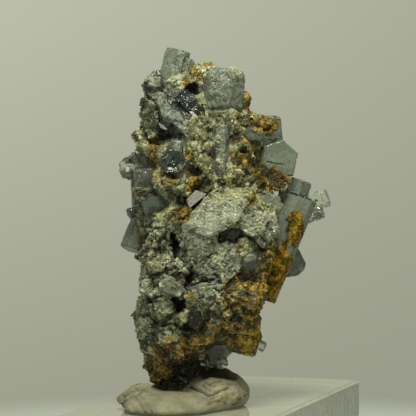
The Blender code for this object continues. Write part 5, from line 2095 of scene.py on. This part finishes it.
@dataclass
class Putty:
    """The lump of putty, with its rolls, bowl, creases and fingerprint ridges.

    The bowl lies in front of the matrix's root. The left foot reaches forwards, and the right one is
    tucked in, more and more between two columns of pixels. A height is where a change ends, and a
    fade is how far below that it is full. The ridges' pitch and stray are in pixels.
    """

    voxel: float = 0.30 * MM
    even_rounds: int = 4
    bowl: Patch = Patch(217, 374, 17, 7, 8)
    bowl_back: tuple[float, float] = (-16.8 * MM, -15.2 * MM)
    bowl_front: tuple[float, float] = (10.2 * MM, 11.6 * MM)
    bowl_depth: float = 1.6 * MM
    shade_back: float = -13.0 * MM
    foot: Patch = Patch(160, 412, 52, 16)
    foot_height: float = 14.8 * MM
    foot_fade: float = 2.5 * MM
    foot_reach: float = 1.5 * MM
    tucked: tuple[float, float] = (204, 250)
    tuck_height: float = 18.6 * MM
    tuck_fade: float = 6.3 * MM
    tuck_back: float = -9.0 * MM
    tuck_run: float = 11.0 * MM
    tuck_depth: float = 4.6 * MM
    folded: tuple[Patch, ...] = (Patch(134, 398, 16, 16), Patch(220, 394, 26, 14))
    fold_size: float = 1.1 * MM
    fold_height: float = 0.24 * MM
    printed: tuple[Patch, ...] = (Patch(170, 398, 24, 11), Patch(232, 402, 8, 5, 0, 0.3))
    ridge_pitch: float = 2.5
    ridge_stray: float = 3.6
    ridge_swell: float = 4.0 * MM
    grained: Patch = Patch(227, 393, 8, 7)
    # Where painted light brightens the right end
    wiped: Patch = Patch(234, 394, 20, 13)
    rolls: tuple[Roll, ...] = (
        Roll(((186, 380, -10.5), (197, 375, -9.8), (208, 371.5, -9.0), (219, 371, -9.0),
              (228, 375.5, -9.6), (236, 382, -11.5)), 1.2),
        Roll(((190, 392, -17.0), (200, 387.5, -17.6), (211, 385, -18.2), (222, 387.5, -18.2),
              (232, 388.5, -17.0)), 1.4),
        Roll(((193, 386, -13.0), (197, 381, -12.6), (201, 386, -15.5)), 1.1),
        Roll(((122, 399, -18.0), (130, 394.5, -19.5), (139, 390.5, -20.0), (147, 388, -20.0)), 1.0),
    )
    creases: tuple[Crack, ...] = (
        Crack(((188, 385.5), (192, 388), (197, 390), (203, 391.5), (207, 394.5), (211, 395.5),
               (216, 393), (222, 390.5), (228, 388.5)), 2.0, 0.60),
        Crack(((205, 382.5), (210, 385.5), (215, 387)), 1.4, 0.30),
        Crack(((209, 384.5), (215, 382), (222, 381.5)), 1.4, 0.26),
        Crack(((203, 386), (207, 389.5), (211, 391.5)), 1.4, 0.26),
        Crack(((219, 386), (225, 384.5), (231, 386)), 1.3, 0.16),
        Crack(((206, 397.5), (212, 399), (218, 396.5)), 1.4, 0.32),
        Crack(((208, 404.5), (214, 402), (220, 402.5), (226, 405.5)), 1.5, 0.26),
        Crack(((233, 398), (238, 394), (240, 389)), 1.3, 0.14),
        Crack(((197, 404), (201, 400.5), (204, 397)), 1.2, 0.16),
        Crack(((121, 404.5), (127, 401), (131, 398), (136, 396.5), (141, 393)), 1.3, 0.45),
        Crack(((124, 397), (129, 395), (132, 392.5), (138, 391)), 1.1, 0.28),
        Crack(((135, 397), (139, 401), (142, 407), (147, 413)), 1.2, 0.30),
        Crack(((140, 396), (146, 402), (149, 408), (152, 412)), 1.1, 0.26),
        Crack(((129, 402), (133, 407), (135, 413)), 1.0, 0.14),
        Crack(((143, 391), (147, 393), (152, 392)), 1.0, 0.18),
    )
    # Dark spots painted on the front
    dark_spots: tuple[Patch, ...] = patches(
        (239, 401.5, 2.6, 1.0, -30), (245.5, 398, 2.0, 0.8, -50, 0.9), (190, 386, 2.6, 1.4, 0, 0.9),
        (236, 406, 5, 1.0, -15, 0.9), (212, 395, 4, 1.2, 0, 0.7),
    )

    def build(self) -> None:
        """Make the putty's mesh and settle it in place of the plain lump."""
        solid = whole_copy("putty")
        for roll in self.rolls:
            solid.from_mesh(roll.build())
        mesh = fused(mesh_of(solid, "putty_lump"), self.voxel)
        points = evened(mesh, coordinates(mesh), self.even_rounds)
        move_points(mesh, points)
        seen = seen_at(points)
        normals = point_normals(mesh)
        facing = on_front(points) * smooth(-normals[:, 1], -0.1, 0.3)
        inside = self.bowl.cover(seen) * smooth(points[:, 1], *self.bowl_back)
        points[:, 2] -= inside * smooth(-points[:, 1], *self.bowl_front) * self.bowl_depth
        height = 0.15 * MM * soft_noise(points, 2.6 * MM, 4) + 0.08 * MM * soft_noise(points, 0.9 * MM, 5)
        self.shape_feet(points, seen, facing)
        folds = 1.0 - np.abs(soft_noise(points, self.fold_size, 6)) * 2.0
        height += self.fold_height * folds * covered(self.folded, seen)
        painted_crease_shade = np.zeros(len(points))
        for crease in self.creases:
            cut = crease.cover(seen) * facing
            height -= cut * crease.depth * MM
            painted_crease_shade = np.maximum(painted_crease_shade, cut**1.5 * min(1.0, crease.depth * 1.5))
        dark_spots = covered(self.dark_spots, seen, 0.5 * soft_noise(points, 0.5 * MM, 8)) * facing
        moved = points + normals * height[:, None]
        moved[:, 2] = np.maximum(moved[:, 2], putty_floor())
        move_points(mesh, moved)
        # Painted shadow in the bowl and on its back wall, under the matrix's root
        painted_wall_shadow = self.bowl.cover(seen) * (points[:, 1] > self.shade_back) * facing
        stray = self.ridge_stray * soft_noise(points, self.ridge_swell, 3)
        store(mesh, "print_place", (seen[:, 0] + stray) * 2 * math.pi / self.ridge_pitch)
        store(mesh, "print", covered(self.printed, seen) * facing)
        # Painted shade in the creases, with the dark spots
        store(mesh, "crease", np.maximum(painted_crease_shade, dark_spots))
        store(mesh, "shaded", np.maximum(inside, painted_wall_shadow) * 0.9)
        store(mesh, "grained", self.grained.cover(seen))
        store(mesh, "wiped", self.wiped.cover(seen) * facing)
        mesh.shade_smooth()
        mesh.materials.clear()
        mesh.materials.append(self.finish())
        settle(new_object("putty_lump", mesh), "putty", "putty")

    def shape_feet(self, points: np.ndarray, seen: np.ndarray, facing: np.ndarray) -> None:
        """Let the left foot reach forwards, and tuck the right one in.

        Args:
            points: The putty's points, which move.
            seen: Their pixels.
            facing: How far each is on a side that faces the camera.
        """
        foot = smooth(self.foot_height - points[:, 2], 0.0, self.foot_fade) * facing
        points[:, 1] -= foot * self.foot.cover(seen) * self.foot_reach
        low = smooth(self.tuck_height - points[:, 2], 0.0, self.tuck_fade)
        low *= smooth(seen[:, 0], *self.tucked)
        points[:, 1] += low * smooth(self.tuck_back - points[:, 1], 0.0, self.tuck_run) * self.tuck_depth

    def finish(self) -> bpy.types.Material:
        """Matt beige putty with prints, stuck grains and dark spots, painted shade in its creases and
        bowl, and painted light at its right.

        Returns:
            The material.
        """
        made = Material("putty_beige")
        tree = made.tree
        cloud = tree.ranged(tree.swell(3.0 * MM, 5.0, 0.65), 0.32, 0.68)
        colour = tree.mixed(cloud, (0.248, 0.229, 0.153), (0.384, 0.356, 0.246))
        speck = tree.ranged(tree.swell(0.55 * MM, 2.0, 0.5), 0.57, 0.64)
        stuck = tree.math("MULTIPLY", speck, tree.ranged(tree.attribute("grained"), 0.1, 1.0, 0.0, 0.95))
        colour = tree.mixed(stuck, colour, (0.52, 0.34, 0.09))
        soot = tree.ranged(tree.swell(0.38 * MM, 3.0, 0.6), 0.64, 0.72)
        colour = tree.tinged(colour, soot, 0.35, (0.07, 0.06, 0.04))
        # Painted shade in the creases, and the dark spots
        colour = tree.tinged(colour, tree.attribute("crease"), 0.9, (0.052, 0.040, 0.020))
        # Painted shadow in the bowl and on its back wall
        colour = tree.mixed(tree.attribute("shaded"), colour, (0.038, 0.034, 0.020))
        ridges = tree.math("SINE", tree.attribute("print_place"))
        ridges = tree.math("MULTIPLY", ridges, tree.attribute("print"))
        colour = tree.shaded(colour, tree.ranged(ridges, -1.0, 1.0, 0.95, 1.03))
        # Painted light: the right end made brighter
        colour = tree.shaded(colour, tree.ranged(tree.attribute("wiped"), 0.0, 1.0, 1.0, 1.20))
        made.set(Base_Color=colour, Roughness=0.75, Specular_IOR_Level=0.35)
        rise = tree.math("MULTIPLY_ADD", ridges, 0.17, tree.swell(0.45 * MM, 6.0, 0.75))
        made.bump(rise, strength=1.0, distance=0.22 * MM)
        return made.result


def putty_floor() -> float:
    """The height of the putty's flat underside."""
    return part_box("putty")[0].z


@dataclass
class Slab:
    """The clear acrylic slab: polished below, dusty on top, sawn at its sides, with rounded edges."""

    edge_round: float = 0.07 * MM
    broad_face: float = 20 * MM**2

    def build(self) -> None:
        """Make the slab's mesh and settle it in place of the plain block."""
        solid = whole_copy("acrylic_slab", flat=True)
        broken_edges(solid, self.edge_round)
        solid.normal_update()
        for face in solid.faces:
            face.material_index = self.finish_index(face)
        mesh = mesh_of(solid, "acrylic_block")
        for finish in (self.polished(), self.sawn(), self.dusty()):
            mesh.materials.append(finish)
        settle(new_object("acrylic_block", mesh), "acrylic", "acrylic_slab")

    def finish_index(self, face: bmesh.types.BMFace) -> int:
        """Which finish a face has.

        Args:
            face: The face.

        Returns:
            0, polished, for the narrow faces and the underside, 1, sawn, for the sides, or 2, dusty.
        """
        if face.calc_area() <= self.broad_face or face.normal.z < -0.5:
            return 0
        return 2 if face.normal.z > 0.5 else 1

    def polished(self) -> bpy.types.Material:
        """Clear acrylic with a light haze of handling.

        Returns:
            The material.
        """
        made = Material("acrylic_clear")
        tree = made.tree
        haze = tree.ranged(tree.swell(9.0 * MM, 5.0, 0.65), 0.35, 0.8, 0.02, 0.10)
        tint = tree.mixed(tree.swell(30.0 * MM, 1.0, 0.5), (0.90, 0.92, 0.83), (0.94, 0.95, 0.89))
        made.set(Base_Color=tint, Roughness=haze, IOR=ACRYLIC_IOR, Transmission_Weight=1.0)
        made.bump(tree.swell(14.0 * MM, 2.0, 0.5), strength=0.04, distance=0.2 * MM)
        return made.result

    def dusty(self) -> bpy.types.Material:
        """The top, with a thin film of dust rubbed to and fro, and painted shade that darkens its left.

        Returns:
            The material.
        """
        made = Material("acrylic_dusty")
        tree = made.tree
        place = tree.place()
        lines = tree.ranged(tree.drawn(place, (12.0, 260.0, 12.0), 4.0), 0.3, 0.7)
        tint = tree.mixed(lines, (0.86, 0.84, 0.62), (1.0, 0.99, 0.80))
        across = tree.add("ShaderNodeSeparateXYZ", inputs={0: place}).outputs[0]
        # Painted shade, darker towards the left
        tint = tree.shaded(tint, tree.ranged(across, -20 * MM, -8 * MM, 0.80, 1.0))
        made.set(Base_Color=tint, Roughness=0.06, IOR=ACRYLIC_IOR, Transmission_Weight=0.52)
        made.bump(tree.swell(14.0 * MM, 2.0, 0.5), strength=0.04, distance=0.2 * MM)
        return made.result

    def sawn(self) -> bpy.types.Material:
        """The duller, greyer sides, with faint upright saw marks.

        Returns:
            The material.
        """
        made = Material("acrylic_sawn")
        tree = made.tree
        lines = tree.ranged(tree.drawn(tree.place(), (900.0, 900.0, 40.0), 3.0), 0.35, 0.65)
        tint = tree.mixed(lines, (0.57, 0.57, 0.50), (0.67, 0.67, 0.59))
        rough = tree.ranged(lines, 0.0, 1.0, 0.20, 0.30)
        made.set(Base_Color=tint, Roughness=rough, IOR=ACRYLIC_IOR, Transmission_Weight=1.0)
        made.bump(lines, strength=0.045, distance=0.1 * MM)
        return made.result


@dataclass
class Studio:
    """A pale floor that sweeps up all round, soft light, and the camera at the photograph's place."""

    floor_radius: float = 92.0 * MM
    sweep_radius: float = 900.0 * MM
    rim_radius: float = 1100.0 * MM
    rings: int = 28
    sides: int = 96
    front_glow: float = 0.6
    sky_strength: float = 0.13
    aim: tuple[float, float, float] = (-1.7, -11.4, 45.0)
    light_colour: tuple[float, float, float] = (0.97, 1.0, 0.83)

    def build(self) -> None:
        """Make the floor, the lights, the sky and the camera."""
        self.build_floor()
        self.add_area("key_light", place=(5, -165, 320), side=90, power=0.95)
        self.add_area("fill_light", place=(-40, -300, 100), side=260, power=0.13)
        self.build_sky()
        self.build_camera()

    def build_floor(self) -> None:
        """A round floor, level under the slab, that sweeps up into the backdrop."""
        solid = bmesh.new()
        profile = [Vector((0.0, 0.0, 0.0))]
        for step in range(self.rings + 1):
            share = step / self.rings
            radius = self.floor_radius + (self.rim_radius - self.floor_radius) * share**1.5
            rise = (radius - self.floor_radius) ** 2 / (2 * self.sweep_radius)
            profile.append(Vector((radius, 0.0, rise)))
        corners = [solid.verts.new(place) for place in profile]
        edges = [solid.edges.new(pair) for pair in zip(corners, corners[1:])]
        bmesh.ops.spin(
            solid, geom=corners + edges, cent=(0, 0, 0), axis=(0, 0, 1), angle=2 * math.pi,
            steps=self.sides,
        )
        bmesh.ops.remove_doubles(solid, verts=solid.verts, dist=0.01 * MM)
        bmesh.ops.recalc_face_normals(solid, faces=solid.faces)
        mesh = mesh_of(solid, "studio_floor")
        mesh.shade_smooth()
        mesh.materials.append(self.floor_finish())
        new_object("studio_floor", mesh)

    def floor_finish(self) -> bpy.types.Material:
        """Dull pale paper that glows with painted light, more towards its top, its left and its back;
        white under the slab.

        Returns:
            The material.
        """
        made = Material("floor_paper")
        tree = made.tree
        place = tree.place()
        part = tree.add("ShaderNodeSeparateXYZ", inputs={0: place}).outputs
        rise = tree.math("POWER", tree.ranged(part[2], 0.0, 165 * MM, kind="LINEAR"), 0.5)
        level = tree.math("MULTIPLY_ADD", rise, 0.16, 0.295)
        side = tree.ranged(part[0], -150 * MM, 150 * MM, 1.12, 0.86, kind="LINEAR")
        back = tree.ranged(part[1], -150 * MM, 60 * MM, self.front_glow, 1.0)
        glow = tree.math("MULTIPLY", tree.math("MULTIPLY", level, side), back)
        radius = tree.add("ShaderNodeVectorMath", operation="LENGTH", inputs={0: place}).outputs["Value"]
        white = tree.ranged(radius, 72 * MM, 112 * MM, 1.0, 0.0)
        colour = tree.mixed(white, (0.06, 0.06, 0.05), (0.52, 0.55, 0.50))
        glowing = tree.mixed(white, tree.shaded((0.965, 1.0, 0.77), glow), (0.10, 0.11, 0.095))
        made.set(Base_Color=colour, Roughness=0.9, Specular_IOR_Level=0.1)
        # Painted light: the paper's glow
        made.set(Emission_Color=glowing, Emission_Strength=1.0)
        return made.result

    def add_area(self, name: str, place: tuple[float, float, float], side: float, power: float) -> None:
        """A square soft light that points at the specimen.

        Args:
            name: The light's name.
            place: Where it hangs, in millimetres.
            side: Its side, in millimetres.
            power: Its power, in watts.
        """
        light = bpy.data.lights.new(name, "AREA")
        light.size = side * MM
        light.energy = power
        light.color = self.light_colour
        holder = bpy.data.objects.new(name, light)
        holder.location = Vector(place) * MM
        aim = Vector(self.aim) * MM - holder.location
        holder.rotation_euler = aim.to_track_quat("-Z", "Y").to_euler()
        bpy.context.scene.collection.objects.link(holder)

    def build_sky(self) -> None:
        """Even pale light from above."""
        world = bpy.data.worlds.new("studio_sky")
        world.use_nodes = True
        sky = world.node_tree.nodes["Background"]
        sky.inputs["Color"].default_value = (*self.light_colour, 1.0)
        sky.inputs["Strength"].default_value = self.sky_strength
        bpy.context.scene.world = world

    def build_camera(self) -> None:
        """The camera, level, in front of the specimen."""
        lens = bpy.data.cameras.new("photo_camera")
        lens.lens = LENS
        lens.sensor_width = SENSOR
        lens.clip_start = 5 * MM
        holder = bpy.data.objects.new("photo_camera", lens)
        holder.location = CAMERA_PLACE
        holder.rotation_euler = (math.pi / 2, 0.0, 0.0)
        bpy.context.scene.collection.objects.link(holder)
        bpy.context.scene.camera = holder
        bpy.context.scene.view_settings.view_transform = "Standard"


def joined_ground(skin: Mesh, blocks: Mesh, crystals: Crystals) -> Mesh:
    """The surface that grains lie on: the matrix and the crusted faces of the crystals.

    Args:
        skin: The matrix's skin.
        blocks: The blocks in the matrix.
        crystals: The crystals.

    Returns:
        One mesh with every zone's share and how open each point is to grains.
    """
    store(skin, "open", smooth(stored(skin, "free"), 0.0, 0.25) * 0.7 + 0.3)
    solid = bmesh.new()
    for mesh in (skin, blocks, *crystals.meshes.values()):
        solid.from_mesh(mesh)
    ground = mesh_of(solid, "grain_ground")
    share = stored(ground, "open")
    share[len(skin.vertices) + len(blocks.vertices):] = 1.0
    store(ground, "open", share)
    return ground


def main() -> None:
    """Build the looks of each piece in order."""
    logging.basicConfig(level=logging.INFO, format="%(message)s")
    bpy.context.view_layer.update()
    groups = MineralGroups()
    crystals = Crystals()
    crystals.build()
    skin = MatrixSkin().build(crystals)
    blocks = built_blocks()
    ground = joined_ground(skin, blocks, crystals)
    Marks(surface_of((skin, blocks, *crystals.meshes.values()))).build()
    Grains(ground, groups).build(len(skin.vertices) + len(blocks.vertices))
    lilac_face(crystals.dress(groups)[BerylKind.LILAC])
    rock_finish = RockFinish(groups).build()
    for mesh, nodes in ((skin, ("matrix_rock",)), (blocks, ())):
        mesh.materials.clear()
        mesh.materials.append(rock_finish)
        settle(new_object(mesh.name, mesh), "matrix", *nodes)
    Putty().build()
    Slab().build()
    Studio().build()


if __name__ == "__main__":
    main()
